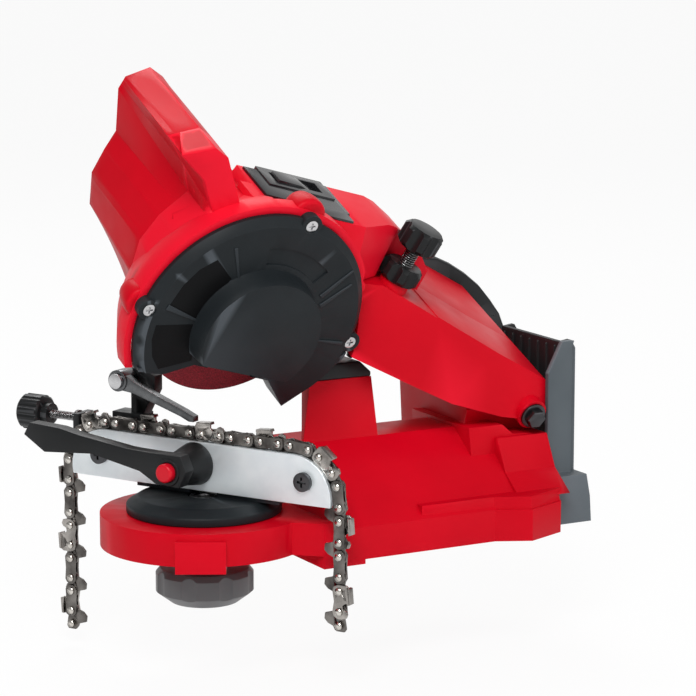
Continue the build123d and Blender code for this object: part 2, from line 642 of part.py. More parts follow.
# ---------------------------------------------------------------- clamp lever
LEVER_BACK = 22.0         # rear face of the lever's arm, before the chain
LEVER_T = 8.0             # thickness of the lever's arm
HUB_SMALL = 7.4           # radius of the lever hub at the button
HUB_FRONT = 31.0          # front of the lever hub, before the chain
BUTTON_R = 5.2            # lever release button
lever_outline = [
    (CLAMP_T + 8.0, CLAMP_Z + 9.5),
    (CLAMP_T + 11.5, CLAMP_Z + 1.0),
    (CLAMP_T + 7.0, CLAMP_Z - 8.0),
    (CLAMP_T - 8.0, CLAMP_Z - 7.5),
    (-22.0, 47.5),
    (-54.0, 53.5),
    (-86.0, 51.0),
    (-100.0, 59.5),
    (-96.0, 66.5),
    (-76.0, 65.5),
    (-62.0, 63.0),
    (-30.0, 59.0),
    (-14.0, 58.5),
]
with BuildPart() as clamp_lever:
    with BuildSketch(vise_plane(RAIL_FRONT + GAP)) as hub_foot:
        with Locations((CLAMP_T, CLAMP_Z)):
            Circle(HUB_BIG)
    with BuildSketch(vise_plane(HUB_FRONT)) as hub_end:
        with Locations((CLAMP_T, CLAMP_Z)):
            Circle(HUB_SMALL)
    loft([hub_foot.sketch, hub_end.sketch])
    prism(vise_plane(LEVER_BACK), lever_outline, LEVER_T)
    bore(vise_plane(0), (CLAMP_T, CLAMP_Z), BOLT_R + RUN, 28.0)
    bore(vise_plane(25.5), (CLAMP_T, CLAMP_Z), BUTTON_R + 0.3, 10.0)
save(clamp_lever.part, "clamp_lever")

with BuildPart() as lever_button:
    rod(vise_plane(HUB_FRONT - 2.5), (CLAMP_T, CLAMP_Z), BUTTON_R, BUTTON_FACE - HUB_FRONT + 1.5)
    fillet(faces().sort_by(Axis((0, 0, 0), VISE_N))[-1].edges(), 1.5)
save(lever_button.part, "lever_button")

# ---------------------------------------------------------------- saw chain
LEFT_LENGTH = CHAIN_Z - LEFT_BEND - CHAIN_LOW
LEFT_ARC = LEFT_BEND * math.pi / 2
TOP_LENGTH = RIGHT_T - LEFT_T
RIGHT_ARC = RIGHT_BEND * math.pi / 2
RIGHT_LENGTH = CHAIN_Z - RIGHT_BEND - CHAIN_END
CHAIN_START = 6.55        # first rivet along the path
CHAIN_TIES = 19           # tie straps along the clamped length
PLATE_CLEAR = 0.06        # play between a drive link and the straps beside it


def chain_point(along):
    """Point of the rivet line at a distance along the chain's path."""
    if along < LEFT_LENGTH:
        return (LEFT_T - LEFT_BEND, CHAIN_LOW + along)
    along = along - LEFT_LENGTH
    if along < LEFT_ARC:
        turn = math.pi - along / LEFT_BEND
        return (LEFT_T + LEFT_BEND * math.cos(turn), CHAIN_Z - LEFT_BEND * (1 - math.sin(turn)))
    along = along - LEFT_ARC
    if along < TOP_LENGTH:
        return (LEFT_T + along, CHAIN_Z)
    along = along - TOP_LENGTH
    if along < RIGHT_ARC:
        turn = math.pi / 2 - along / RIGHT_BEND
        return (RIGHT_T + RIGHT_BEND * math.cos(turn), CHAIN_Z - RIGHT_BEND * (1 - math.sin(turn)))
    return (RIGHT_T + RIGHT_BEND, CHAIN_Z - RIGHT_BEND - (along - RIGHT_ARC))


def step_along(along, pitch):
    """Distance along the path of the next rivet, one straight pitch away."""
    low = along
    high = along + pitch * 1.2
    start = chain_point(along)
    for halving in range(40):
        middle = (low + high) / 2
        if math.dist(start, chain_point(middle)) < pitch:
            low = middle
        else:
            high = middle
    return high


rivets = [chain_point(CHAIN_START)]
rivet_along = CHAIN_START
for link in range(2 * CHAIN_TIES + 1):
    rivet_along = step_along(rivet_along, PITCH_DRIVE if link % 2 == 0 else PITCH_TIE)
    rivets.append(chain_point(rivet_along))


def link_shape(index, outline):
    """Place an outline given about a link's middle (along, outward) on the vise plane."""
    first = rivets[index]
    last = rivets[index + 1]
    length = math.dist(first, last)
    run = ((last[0] - first[0]) / length, (last[1] - first[1]) / length)
    middle = ((last[0] + first[0]) / 2, (last[1] + first[1]) / 2)
    return [(middle[0] + u * run[0] - w * run[1], middle[1] + u * run[1] + w * run[0]) for u, w in outline]


def strap_outline(pitch, radius, waist):
    """Figure-of-eight outline of a strap, as a polygon."""
    points = []
    for end in (1, -1):
        for turn in (-75, -45, -15, 15, 45, 75):
            angle = math.radians(turn)
            points.append((end * (pitch / 2 + radius * math.cos(angle)), end * radius * math.sin(angle)))
        points.append((0.0, end * waist))
    return points


tie_outline = strap_outline(PITCH_TIE, STRAP_R, 3.1)
drive_outline = [
    (7.3, 2.8), (5.6, 3.9), (2.4, 3.4), (0.0, 2.9), (-2.4, 3.4), (-5.6, 3.9), (-7.3, 2.8),
    (-7.3, -2.2), (-5.6, -3.8), (-3.6, -4.6), (-2.2, -9.4), (1.2, -9.8), (3.4, -7.6), (4.6, -4.4),
    (6.6, -3.4), (7.3, -2.2),
]
cutter_outline = [
    (9.6, -0.6), (9.6, 1.4), (8.8, 4.6), (6.6, 5.5), (5.0, 4.6), (4.0, 2.5), (2.0, 2.2),
    (0.6, 4.2), (0.8, 7.4), (-8.0, 6.7), (-9.4, 4.6), (-9.4, -0.6), (-8.2, -3.2), (-5.7, -4.0),
    (-3.0, -3.5), (0.0, -3.0), (3.0, -3.5), (5.7, -4.0), (8.2, -3.2),
]
cutter_top = [(0.8, 7.4), (1.2, 6.0), (-8.2, 5.3), (-8.0, 6.7)]
RIVET_SHANK = 1.5         # rivet shank, radius
STRAP_IN = DRIVE_T / 2 + PLATE_CLEAR
STRAP_OUT = STRAP_IN + STRAP_T
near_cutters = [2 * tie + 1 for tie in range(CHAIN_TIES) if tie % 4 == 2]
far_cutters = [2 * tie + 1 for tie in range(CHAIN_TIES) if tie % 4 == 0]
ties = [2 * tie + 1 for tie in range(CHAIN_TIES)]
drives = [2 * tie for tie in range(CHAIN_TIES + 1)]


def link_plates(plane, indices, outline, thickness):
    """Flat plates of several links, bored for their rivets."""
    with BuildSketch(plane) as plates:
        for index in indices:
            Polygon(*link_shape(index, outline))
        with Locations(*rivets):
            Circle(RIVET_SHANK + SEAT, mode=Mode.SUBTRACT)
    extrude(plates.sketch, amount=thickness)


with BuildPart() as chain_drive_links:
    link_plates(vise_plane(-DRIVE_T / 2), drives, drive_outline, DRIVE_T)
save(chain_drive_links.part, "chain_drive_links")

with BuildPart() as chain_tie_straps:
    link_plates(vise_plane(STRAP_IN), [tie for tie in ties if tie not in near_cutters], tie_outline, STRAP_T)
    link_plates(vise_plane(-STRAP_OUT), [tie for tie in ties if tie not in far_cutters], tie_outline, STRAP_T)
save(chain_tie_straps.part, "chain_tie_straps")

CUTTER_LAP = 1.7          # reach of a cutter's top plate past the chain's middle
CUTTER_OVER = 0.9         # reach of a cutter's top plate outside its side plate
with BuildPart() as chain_cutters:
    link_plates(vise_plane(STRAP_IN), near_cutters, cutter_outline, STRAP_T)
    link_plates(vise_plane(-STRAP_OUT), far_cutters, cutter_outline, STRAP_T)
    for index in near_cutters:
        prism(vise_plane(-CUTTER_LAP), link_shape(index, cutter_top), CUTTER_LAP + STRAP_OUT + CUTTER_OVER)
    for index in far_cutters:
        prism(vise_plane(CUTTER_LAP), link_shape(index, cutter_top), -CUTTER_LAP - STRAP_OUT - CUTTER_OVER)
save(chain_cutters.part, "chain_cutters")

RIVET_HEAD = 0.7          # height of a rivet head over the strap
with BuildPart() as chain_rivets:
    with BuildSketch(vise_plane(-STRAP_OUT - RIVET_HEAD)) as shanks:
        with Locations(*rivets):
            Circle(RIVET_SHANK)
    extrude(shanks.sketch, amount=2 * (STRAP_OUT + RIVET_HEAD))
    for back in (STRAP_OUT + SEAT, -STRAP_OUT - RIVET_HEAD):
        with BuildSketch(vise_plane(back)) as heads:
            with Locations(*rivets):
                Circle(RIVET_R)
        extrude(heads.sketch, amount=RIVET_HEAD - SEAT)
save(chain_rivets.part, "chain_rivets")

# ---------------------------------------------------------------- chain stop
SHELF_Z = 55.5            # sliding surface of the stop bracket
SHELF_BACK = 19.0         # rear edge of the stop bracket, behind the chain
SHELF_LEFT = -92.0        # far end of the stop bracket
SHELF_RIGHT = -40.0       # near end of the stop bracket
STOP_OFF = 12.0           # stop screw, behind the chain
STOP_Z = 62.5             # stop screw, height
STOP_R = 2.4              # stop screw, radius
bracket_clear = RAIL_FRONT + SEAT
with BuildPart() as stop_bracket:
    web = [
        (-78.0, 42.0), (-56.0, 42.0), (SHELF_RIGHT, 52.0), (SHELF_RIGHT, SHELF_Z),
        (-84.0, SHELF_Z), (-84.0, 50.0),
    ]
    prism(vise_plane(-bracket_clear - STOP_WEB), web, STOP_WEB)
    shelf = [
        (SHELF_LEFT, SHELF_Z - 3.0), (SHELF_RIGHT, SHELF_Z - 3.0), (SHELF_RIGHT, SHELF_Z),
        (SHELF_LEFT, SHELF_Z),
    ]
    prism(vise_plane(-SHELF_BACK), shelf, SHELF_BACK - bracket_clear - 1.0)
    end_wall = [
        (SHELF_LEFT, SHELF_Z - 3.0), (SHELF_LEFT + 4.0, SHELF_Z - 3.0),
        (SHELF_LEFT + 4.0, 66.0), (SHELF_LEFT, 66.0),
    ]
    prism(vise_plane(-SHELF_BACK), end_wall, SHELF_BACK - bracket_clear - 1.0)
    rear_rail = [
        (SHELF_LEFT, SHELF_Z - 3.0), (SHELF_RIGHT, SHELF_Z - 3.0), (SHELF_RIGHT, 59.5),
        (SHELF_LEFT, 59.5),
    ]
    prism(vise_plane(-SHELF_BACK - 2.0), rear_rail, 2.0)
    bore(vise_plane(-SHELF_BACK), (-SCREW_SPREAD, SCREW_Z), 2.0 + SEAT, SHELF_BACK)
    bore(rail_plane(SHELF_LEFT), (STOP_OFF, STOP_Z), STOP_R + RUN, 4.0)
save(stop_bracket.part, "stop_bracket")

CARRIAGE_LEFT = -66.0     # far end of the stop carriage
CARRIAGE_RIGHT = -46.0    # near end of the stop carriage
CARRIAGE_TOP = 70.0       # top of the carriage block
CARRIAGE_NEAR = 6.5       # faces of the carriage block, behind the chain
CARRIAGE_FAR = 18.5
PAWL_T = -55.0            # pawl pin, along the vise
PAWL_Z = 89.7             # pawl pin, height
PIN_R = 2.5               # pawl pin, radius
POST_NEAR = 8.0           # faces of the carriage's post, behind the chain
POST_FAR = 16.0
with BuildPart() as stop_carriage:
    block = [(CARRIAGE_LEFT, SHELF_Z + SEAT), (CARRIAGE_RIGHT, SHELF_Z + SEAT)]
    block = block + [(CARRIAGE_RIGHT, CARRIAGE_TOP), (CARRIAGE_LEFT, CARRIAGE_TOP)]
    prism(vise_plane(-CARRIAGE_FAR), block, CARRIAGE_FAR - CARRIAGE_NEAR)
    post = [
        (-54.0, CARRIAGE_TOP - 1), (-46.0, CARRIAGE_TOP - 1), (-38.0, 84.0), (-38.0, 92.0),
        (-46.0, 96.0), (-58.0, 95.0),
    ]
    post = post + [(-60.0, 86.0), (-54.0, 84.0)]
    prism(vise_plane(-POST_FAR), post, POST_FAR - POST_NEAR)
    bore(vise_plane(-POST_FAR), (PAWL_T, PAWL_Z), PIN_R + SEAT, POST_FAR)
    bore(rail_plane(CARRIAGE_LEFT), (STOP_OFF, STOP_Z), STOP_R + RUN, CARRIAGE_RIGHT - CARRIAGE_LEFT)
save(stop_carriage.part, "stop_carriage")

PAWL_FRONT = 3.5          # front face of the pawl, before the chain
with BuildPart() as pawl_pin:
    rod(vise_plane(-POST_FAR - 1.0), (PAWL_T, PAWL_Z), PIN_R, POST_FAR + 1.0 + PAWL_FRONT + GAP)
    rod(vise_plane(PAWL_FRONT + GAP), (PAWL_T, PAWL_Z), 4.2, 1.8)
save(pawl_pin.part, "pawl_pin")

pawl_outline = [
    (-60.5, 88.0), (-60.0, 93.5), (-57.0, 95.0), (-51.0, 93.5), (-44.0, 89.5), (-30.0, 84.0), (-12.0, 77.5),
    (-5.0, 74.5), (-5.0, 71.5), (-8.0, 71.5), (-14.0, 74.0), (-30.0, 79.0), (-45.0, 83.5),
    (-54.0, 84.5), (-59.0, 85.5),
]
with BuildPart() as stop_pawl:
    prism(vise_plane(-2.5), pawl_outline, 5.0)
    rod(vise_plane(-POST_NEAR + GAP), (PAWL_T, PAWL_Z), 6.0, POST_NEAR - GAP + PAWL_FRONT)
    bore(vise_plane(-POST_NEAR), (PAWL_T, PAWL_Z), PIN_R + RUN, POST_NEAR + PAWL_FRONT)
save(stop_pawl.part, "stop_pawl")

STOP_KNOB_R = 10.2        # knob of the stop screw
STOP_KNOB_LEFT = -131.0   # far end of that knob
STOP_KNOB_RIGHT = -116.0
with BuildPart() as stop_rod:
    rod(rail_plane(STOP_KNOB_LEFT + 4.0), (STOP_OFF, STOP_Z), STOP_R, SHELF_RIGHT - STOP_KNOB_LEFT - 2.0)
    # collars on both sides of the end wall
    for start in (SHELF_LEFT - GAP - 2.0, SHELF_LEFT + 4.0 + GAP):
        rod(rail_plane(start), (STOP_OFF, STOP_Z), 4.2, 2.0)
save(stop_rod.part, "stop_rod")

with BuildPart() as stop_knob:
    rod(rail_plane(STOP_KNOB_LEFT), (STOP_OFF, STOP_Z), STOP_KNOB_R, STOP_KNOB_RIGHT - STOP_KNOB_LEFT)
    chamfer(edges().filter_by(GeomType.CIRCLE), 1.5)
    rod(rail_plane(STOP_KNOB_RIGHT - 0.5), (STOP_OFF, STOP_Z), 6.0, 4.5)
    with BuildSketch(rail_plane(STOP_KNOB_LEFT)) as flutes:
        with Locations((STOP_OFF, STOP_Z)):
            with PolarLocations(STOP_KNOB_R + 1.2, 12):
                Circle(1.9)
    extrude(flutes.sketch, amount=STOP_KNOB_RIGHT - STOP_KNOB_LEFT, mode=Mode.SUBTRACT)
    bore(rail_plane(STOP_KNOB_LEFT + 4.0 - SEAT), (STOP_OFF, STOP_Z), STOP_R + SEAT, 30.0)
save(stop_knob.part, "stop_knob")

# ---------------------------------------------------------------- grinding head
depth_unit = Vector(DEPTH_TOP[0] - DEPTH_TIP[0], DEPTH_TOP[1] - DEPTH_TIP[1]).normalized()
DEPTH_AXIS = Vector(1, 0, 0) * depth_unit.X + HEAD_V * depth_unit.Y


def depth_plane(along):
    """Plane square to the depth screw, this far up from its tip; x runs towards the operator."""
    tip = WHEEL_AT + Vector(DEPTH_TIP[0], 0, 0) + HEAD_V * DEPTH_TIP[1]
    return Plane(origin=tip + DEPTH_AXIS * along, x_dir=HEAD_N, z_dir=DEPTH_AXIS)


BOSS_LOW = 12.0           # threaded boss of the depth screw, up from the screw's tip
BOSS_TOP = 54.0
BOSS_R = 9.0
KNOB_LOW = 75.0           # depth knob along the screw
KNOB_H = 13.0


LOWER_EDGE = [
    (-71.0, -20.0), (-47.7, -23.7), (-30.9, -19.7), (16.2, -34.7), (27.9, -52.7),
    (45.1, -40.8), (60.5, -26.0), (71.0, -20.0),
]
below_edge = [(-90.0, -20.0)] + LOWER_EDGE + [(90.0, -20.0), (90.0, -120.0), (-90.0, -120.0)]
housing_below = [
    (-90.0, -21.0), (-30.0, -24.0), (22.0, -24.0), (40.0, -21.0), (90.0, -21.0),
    (90.0, -120.0), (-90.0, -120.0),
]
box_outline = [
    (4.0, 67.0), (57.0, 51.0), (87.0, 42.0), (94.0, 38.0), (106.0, 28.0), (115.0, 19.0),
    (123.0, 6.0), (119.0, -6.0),
    (112.0, -4.6), (86.0, 9.8), (72.9, 12.2), (60.0, 20.0), (45.0, 40.0), (0.0, 60.0),
]
box_core = [
    (8.0, 62.5), (56.0, 48.0), (85.5, 39.0), (92.0, 35.5), (104.0, 25.5), (112.0, 16.5),
    (118.5, 5.0), (116.0, -1.0),
    (112.0, -0.4), (87.0, 13.0), (75.0, 15.5), (63.0, 22.0), (48.0, 42.0), (8.0, 61.5),
]
BOX_FRONT = 8.0           # front face of the box, before the wheel plane
BEARING_R = 11.0          # spindle bearings, outer radius
BEARING_W = 6.0           # spindle bearings, width
FRONT_BEARING = 11.0      # front bearing, behind the wheel plane
REAR_BEARING = 69.0       # rear bearing, behind the wheel plane
box_ribs = [(30.0, 33.0), (56.0, 59.0), (82.0, 85.0), (108.0, 111.0)]
BOX_BEND = 66.0           # where the box's front face starts to fall back
BOX_BACK = 98.0           # where it has fallen back behind the depth knobs
STEP_FRONT = -8.0         # front face from there on
CORE_START = 17.0         # front of the box's rear hollow, behind the wheel plane
KNOB_ROOM = 13.0          # radius kept free round the depth knobs
SWITCH_NEAR = 17.0        # switch opening, behind the wheel plane
SWITCH_FAR = 31.0
BOX_TOP = ((4.0, 67.0), (57.0, 51.0))
slope_run = Vector(BOX_TOP[1][0] - BOX_TOP[0][0], BOX_TOP[1][1] - BOX_TOP[0][1]).normalized()
slope_up = Vector(-slope_run.Y, slope_run.X)


def on_slope(along, up):
    """Point over the box's top face: distance along it and height over it."""
    x = BOX_TOP[0][0] + along * slope_run.X + up * slope_up.X
    v = BOX_TOP[0][1] + along * slope_run.Y + up * slope_up.Y
    return (x, v)


def slope_box(start, end, low, high):
    """Rectangle over the box's top face."""
    return [on_slope(start, low), on_slope(end, low), on_slope(end, high), on_slope(start, high)]


def behind(points, start, end):
    """Extrude a head outline between two distances behind the wheel plane."""
    prism(head_plane(-start), points, start - end)


def cut_behind(points, start, end):
    """Cut a head outline between two distances behind the wheel plane."""
    cut_prism(head_plane(-start), points, start - end)


FRAME_START = 14.0        # switch frame along the box's top face
FRAME_END = 52.0
PANEL_START = -8.5        # front of the flat under the switch panel, behind the wheel plane
PANEL_LEFT = 2.0          # left end of the switch panel, along the top face
BLOCK_START = -8.0        # front face of the motor block, behind the wheel plane
# outline of the motor block at its front face and at its far end, point for point
block_front = [
    (40.0, -12.0), (40.0, 22.0), (26.0, 53.0), (0.0, 65.0), (-14.0, 69.0), (-26.0, 97.0),
    (-34.0, 103.0), (-53.0, 100.0),
    (-45.0, 92.0), (-37.0, 84.0), (-29.0, 65.0), (-46.0, 51.0), (-56.0, 36.0), (-59.5, 17.0),
    (-52.0, -14.0), (-20.0, -33.0),
    (20.0, -33.0),
]
block_end = [
    (36.0, -10.0), (36.0, 20.0), (26.0, 36.0), (4.0, 57.0), (-16.0, 66.0), (-25.0, 97.0),
    (-33.5, 103.0), (-47.0, 98.0),
    (-50.0, 91.0), (-48.5, 78.0), (-47.0, 65.0), (-52.0, 54.0), (-57.0, 40.0), (-55.0, 20.0),
    (-28.0, -18.0), (-20.0, -33.0),
    (15.0, -33.0),
]


def block_at(depth):
    """Outline of the motor block at a distance behind the wheel plane."""
    share = (depth - BLOCK_START) / (HOUSING_END - BLOCK_START)
    pairs = zip(block_front, block_end)
    return [(a[0] + share * (b[0] - a[0]), a[1] + share * (b[1] - a[1])) for a, b in pairs]


def block_loft(first, start, last, end):
    """Loft between two outlines of equal length, at two distances behind the wheel plane."""
    with BuildSketch(head_plane(-start)) as near_section:
        Polygon(*first)
    with BuildSketch(head_plane(-end)) as far_section:
        Polygon(*last)
    loft([near_section.sketch, far_section.sketch], ruled=True)


cover_plane = Plane(origin=WHEEL_AT, x_dir=(1, 0, 0), z_dir=-HEAD_V)
fall_plane = Plane(origin=WHEEL_AT + HEAD_V * RING_R, x_dir=(1, 0, 0), z_dir=-HEAD_V)
fall_outline = [
    (BOX_BEND, BOX_FRONT),
    (BOX_BACK, STEP_FRONT),
    (REACH, STEP_FRONT),
    (REACH, RING_R),
    (BOX_BEND, RING_R),
]
core_stop = BOX_BEND - SHELL
rear_part = [(core_stop, -30.0), (REACH, -30.0), (REACH, 80.0), (core_stop, 80.0)]
with BuildPart() as head_housing:
    # guard ring and its back wall
    with BuildSketch(cover_plane) as ring_half:
        Polygon(
            (0.0, -RING_BACK),
            (RING_NECK, -RING_BACK),
            (RING_R, RING_TURN),
            (RING_R, RING_FRONT),
            (0.0, RING_FRONT),
        )
    revolve(ring_half.sketch, axis=Axis(WHEEL_AT, HEAD_N))
    behind(box_outline, -BOX_FRONT, BOX_DEPTH)
    # the box's front face falls back beside the depth knobs
    with BuildSketch(fall_plane) as fall:
        Polygon(*fall_outline)
    extrude(fall.sketch, amount=2 * RING_R, mode=Mode.SUBTRACT)
    # collar the motor housing sits against
    block_loft(block_front, BLOCK_START, block_at(RING_BACK), RING_BACK)
    # room of the wheel, with a floor kept under the switch panel
    with BuildSketch(cover_plane) as room_half:
        Polygon(
            (0.0, SHELL - RING_BACK),
            (RING_NECK - SHELL, SHELL - RING_BACK),
            (RING_R - RING_WALL, RING_TURN + 2.0),
            (RING_R - RING_WALL, RING_FRONT + 1.0),
            (0.0, RING_FRONT + 1.0),
        )
    revolve(room_half.sketch, axis=Axis(WHEEL_AT, HEAD_N), mode=Mode.SUBTRACT)
    behind(slope_box(-8.0, 46.0, -SHELL - 1.0, 0.0), PANEL_START, RING_BACK)
    cut_behind(slope_box(PANEL_LEFT - 2.0, 62.0, 0.0, 12.0), PANEL_START, RING_BACK)
    # hollow box with ribs
    with BuildSketch(head_plane(BOX_FRONT - SHELL)) as core:
        Polygon(*box_core)
        Circle(RING_R, mode=Mode.SUBTRACT)
        Polygon(*rear_part, mode=Mode.SUBTRACT)
        for start, end in box_ribs:
            with Locations(((start + end) / 2, 20.0)):
                Rectangle(end - start, 120.0, mode=Mode.SUBTRACT)
    with BuildSketch(head_plane(-CORE_START)) as rear_core:
        Polygon(*box_core)
        for start, end in box_ribs:
            with Locations(((start + end) / 2, 20.0)):
                Rectangle(end - start, 120.0, mode=Mode.SUBTRACT)
    extrude(rear_core.sketch, amount=CORE_START - BOX_DEPTH + SHELL, mode=Mode.SUBTRACT)
    bore(depth_plane(BOSS_LOW), (0, 0), KNOB_ROOM, KNOB_LOW + KNOB_H + 20.0)
    extrude(core.sketch, amount=-BOX_FRONT + SHELL - CORE_START, mode=Mode.SUBTRACT)
    cut_behind(housing_below, -RING_FRONT, BOX_DEPTH)
    # boss of the front bearing
    rod(head_plane(-FRONT_BEARING + 1.0), (0, 0), BEARING_R + SHELL, -BEARING_W)
    bore(head_plane(RING_FRONT), (0, 0), BEARING_R + SEAT, -RING_FRONT - MOTOR_FRONT)
    # opening of the switch
    cut_behind(slope_box(FRAME_START, FRAME_END, -SHELL - 4.0, 5.0), SWITCH_NEAR, SWITCH_FAR)
    # screw bosses of the cover
    for angle in (165.0, 69.0, 14.0):
        at = (65.0 * math.cos(math.radians(angle)), 65.0 * math.sin(math.radians(angle)))
        rod(head_plane(RING_FRONT), at, 5.0, -12.0)
        bore(head_plane(RING_FRONT), at, 1.7, -10.0)
save(head_housing.part, "head_housing")

COVER_FRONT = 24.0        # front face of the cover plate
HUB_FACE = 36.0           # front face of the cover's hub
COVER_WALL = 3.0
COVER_SCREWS = [(-62.8, 16.8), (23.3, 60.7), (63.0, -15.8)]
hub_flat = [(-60.0, -3.9), (60.0, -40.6), (60.0, -90.0), (-60.0, -90.0)]
flat_back = [(-60.0, -0.9), (60.0, -37.6), (60.0, 90.0), (-60.0, 90.0)]
groove_rest = [(0.0, 0.0), (0.0, 90.0), (-90.0, 90.0), (-90.0, -90.0), (90.0, -90.0), (90.0, 75.0)]
above_edge = [(-90.0, -20.0)] + LOWER_EDGE + [(90.0, -20.0), (90.0, 90.0), (-90.0, 90.0)]
with BuildPart() as wheel_cover:
    # plate and hub
    with BuildSketch(cover_plane) as half:
        Polygon(
            (0.0, HUB_FACE),
            (HUB_R - 2.5, HUB_FACE),
            (HUB_R, COVER_FRONT),
            (COVER_R - 4.5, COVER_FRONT),
            (COVER_R, COVER_FRONT - 4.5),
            (COVER_R, RING_FRONT + SEAT),
            (COVER_R - 7.0, RING_FRONT + SEAT),
            (COVER_R - 7.0, COVER_FRONT - COVER_WALL),
            (HUB_R - COVER_WALL - 2.5, COVER_FRONT - COVER_WALL),
            (HUB_R - COVER_WALL - 2.5, HUB_FACE - COVER_WALL),
            (0.0, HUB_FACE - COVER_WALL),
        )
    revolve(half.sketch, axis=Axis(WHEEL_AT, HEAD_N))
    # flat side of the hub, and the web that closes it
    cut_prism(head_plane(COVER_FRONT), hub_flat, HUB_FACE)
    with BuildSketch(head_plane(COVER_FRONT - 1.0)) as flat_web:
        Circle(HUB_R - 2.6)
        Polygon(*hub_flat, mode=Mode.SUBTRACT)
        Polygon(*flat_back, mode=Mode.SUBTRACT)
    extrude(flat_web.sketch, amount=HUB_FACE - COVER_FRONT)
    # screw lugs on the rim
    for at in COVER_SCREWS:
        rod(head_plane(RING_FRONT + SEAT), at, 6.0, COVER_FRONT - 1.5 - RING_FRONT)
    cut_prism(head_plane(-2.0), below_edge, 50.0)
    # skirt behind the lower edge
    with BuildSketch(head_plane(5.0)) as skirt:
        Polygon(*above_edge)
        offset(amount=-2.5, kind=Kind.INTERSECTION, mode=Mode.SUBTRACT)
        Circle(COVER_R - 1.0, mode=Mode.INTERSECT)
    extrude(skirt.sketch, amount=COVER_FRONT - 1.0 - 5.0)
    for at in COVER_SCREWS:
        bore(head_plane(RING_FRONT), at, 1.8 + SEAT, 20.0)
        bore(head_plane(COVER_FRONT - 3.5), at, 3.6, 20.0)
    # curved groove over the hub
    with BuildSketch(head_plane(COVER_FRONT - 1.0)) as groove:
        Circle(50.0)
        Circle(40.0, mode=Mode.SUBTRACT)
        Polygon(*groove_rest, mode=Mode.SUBTRACT)
    extrude(groove.sketch, amount=5.0, mode=Mode.SUBTRACT)
save(wheel_cover.part, "wheel_cover")

with BuildPart() as cover_screws:
    for at in COVER_SCREWS:
        rod(head_plane(RING_FRONT - 8.0), at, 1.65, COVER_FRONT - 3.0 - RING_FRONT + 8.0)
        rod(head_plane(COVER_FRONT - 3.5 + SEAT), at, 3.4, 2.2)
        with BuildSketch(head_plane(COVER_FRONT - 2.4)) as cross_slot:
            with Locations(at):
                Rectangle(4.0, 1.0)
                Rectangle(1.0, 4.0)
        extrude(cross_slot.sketch, amount=3.0, mode=Mode.SUBTRACT)
save(cover_screws.part, "cover_screws")

# ---------------------------------------------------------------- switch
SWITCH_MIDDLE = (FRAME_START + FRAME_END) / 2
ROCKER_HALF = 14.5        # half length of the rocker
ROCKER_NEAR = 19.0        # faces of the rocker, behind the wheel plane
ROCKER_FAR = 29.0
ROCKER_DIP = -2.0         # rocker pivot, over the box's top face
ROCKER_SWING = 8.0        # tilt of the rocker either way, degrees
FRAME_LIP = 3.0           # lip of the frame round its opening
TRUNNION_R = 1.5          # rocker trunnions, radius
PANEL_T = 1.4             # thickness of the switch panel
PANEL_STEPS = [(PANEL_LEFT, 58.0, 1.0, 31.0), (34.0, 56.0, -7.5, 2.0)]
rim = slope_box(FRAME_START - FRAME_LIP, FRAME_END + FRAME_LIP, SEAT, 2.2)
with BuildPart() as switch_frame:
    behind(rim, SWITCH_NEAR - 2.5, SWITCH_FAR + 2.5)
    # flat panel that runs on towards the operator
    for left, right, start, end in PANEL_STEPS:
        behind(slope_box(left, right, SEAT, PANEL_T), start, end)
    inner = slope_box(FRAME_START + SEAT, FRAME_END - SEAT, -7.0, 1.0)
    behind(inner, SWITCH_NEAR + SEAT, SWITCH_FAR - SEAT)
    hole = slope_box(SWITCH_MIDDLE - ROCKER_HALF - 1.2, SWITCH_MIDDLE + ROCKER_HALF + 1.2, -8.0, 5.0)
    cut_behind(hole, ROCKER_NEAR - GAP, ROCKER_FAR + GAP)
    pin_at = on_slope(SWITCH_MIDDLE, ROCKER_DIP)
    bore(head_plane(-ROCKER_NEAR + 1.4), pin_at, TRUNNION_R + RUN, ROCKER_NEAR - ROCKER_FAR - 2.8)
save(switch_frame.part, "switch_frame")

rocker_tilt = math.radians(-ROCKER_SWING)
rocker_outline = []
rocker_flat = [
    (-ROCKER_HALF, -3.0),
    (ROCKER_HALF, -3.0),
    (ROCKER_HALF, 3.6),
    (0.0, 5.2),
    (-ROCKER_HALF, 3.6),
]
for along, up in rocker_flat:
    turned = along * math.cos(rocker_tilt) - up * math.sin(rocker_tilt)
    raised = along * math.sin(rocker_tilt) + up * math.cos(rocker_tilt)
    rocker_outline.append(on_slope(SWITCH_MIDDLE + turned, ROCKER_DIP + raised))
with BuildPart() as switch_rocker:
    behind(rocker_outline, ROCKER_NEAR, ROCKER_FAR)
    rod(head_plane(-ROCKER_NEAR + 1.2), pin_at, TRUNNION_R, ROCKER_NEAR - ROCKER_FAR - 2.4)
save(switch_rocker.part, "switch_rocker")

# ---------------------------------------------------------------- motor housing
MOTOR_SEAT = RING_BACK + SEAT
MOTOR_RIBS = (-48.0, -22.0, 4.0, 30.0)
HOLLOW_START = MOTOR_SEAT + 1.0
HOLLOW_END = HOUSING_END - SHELL
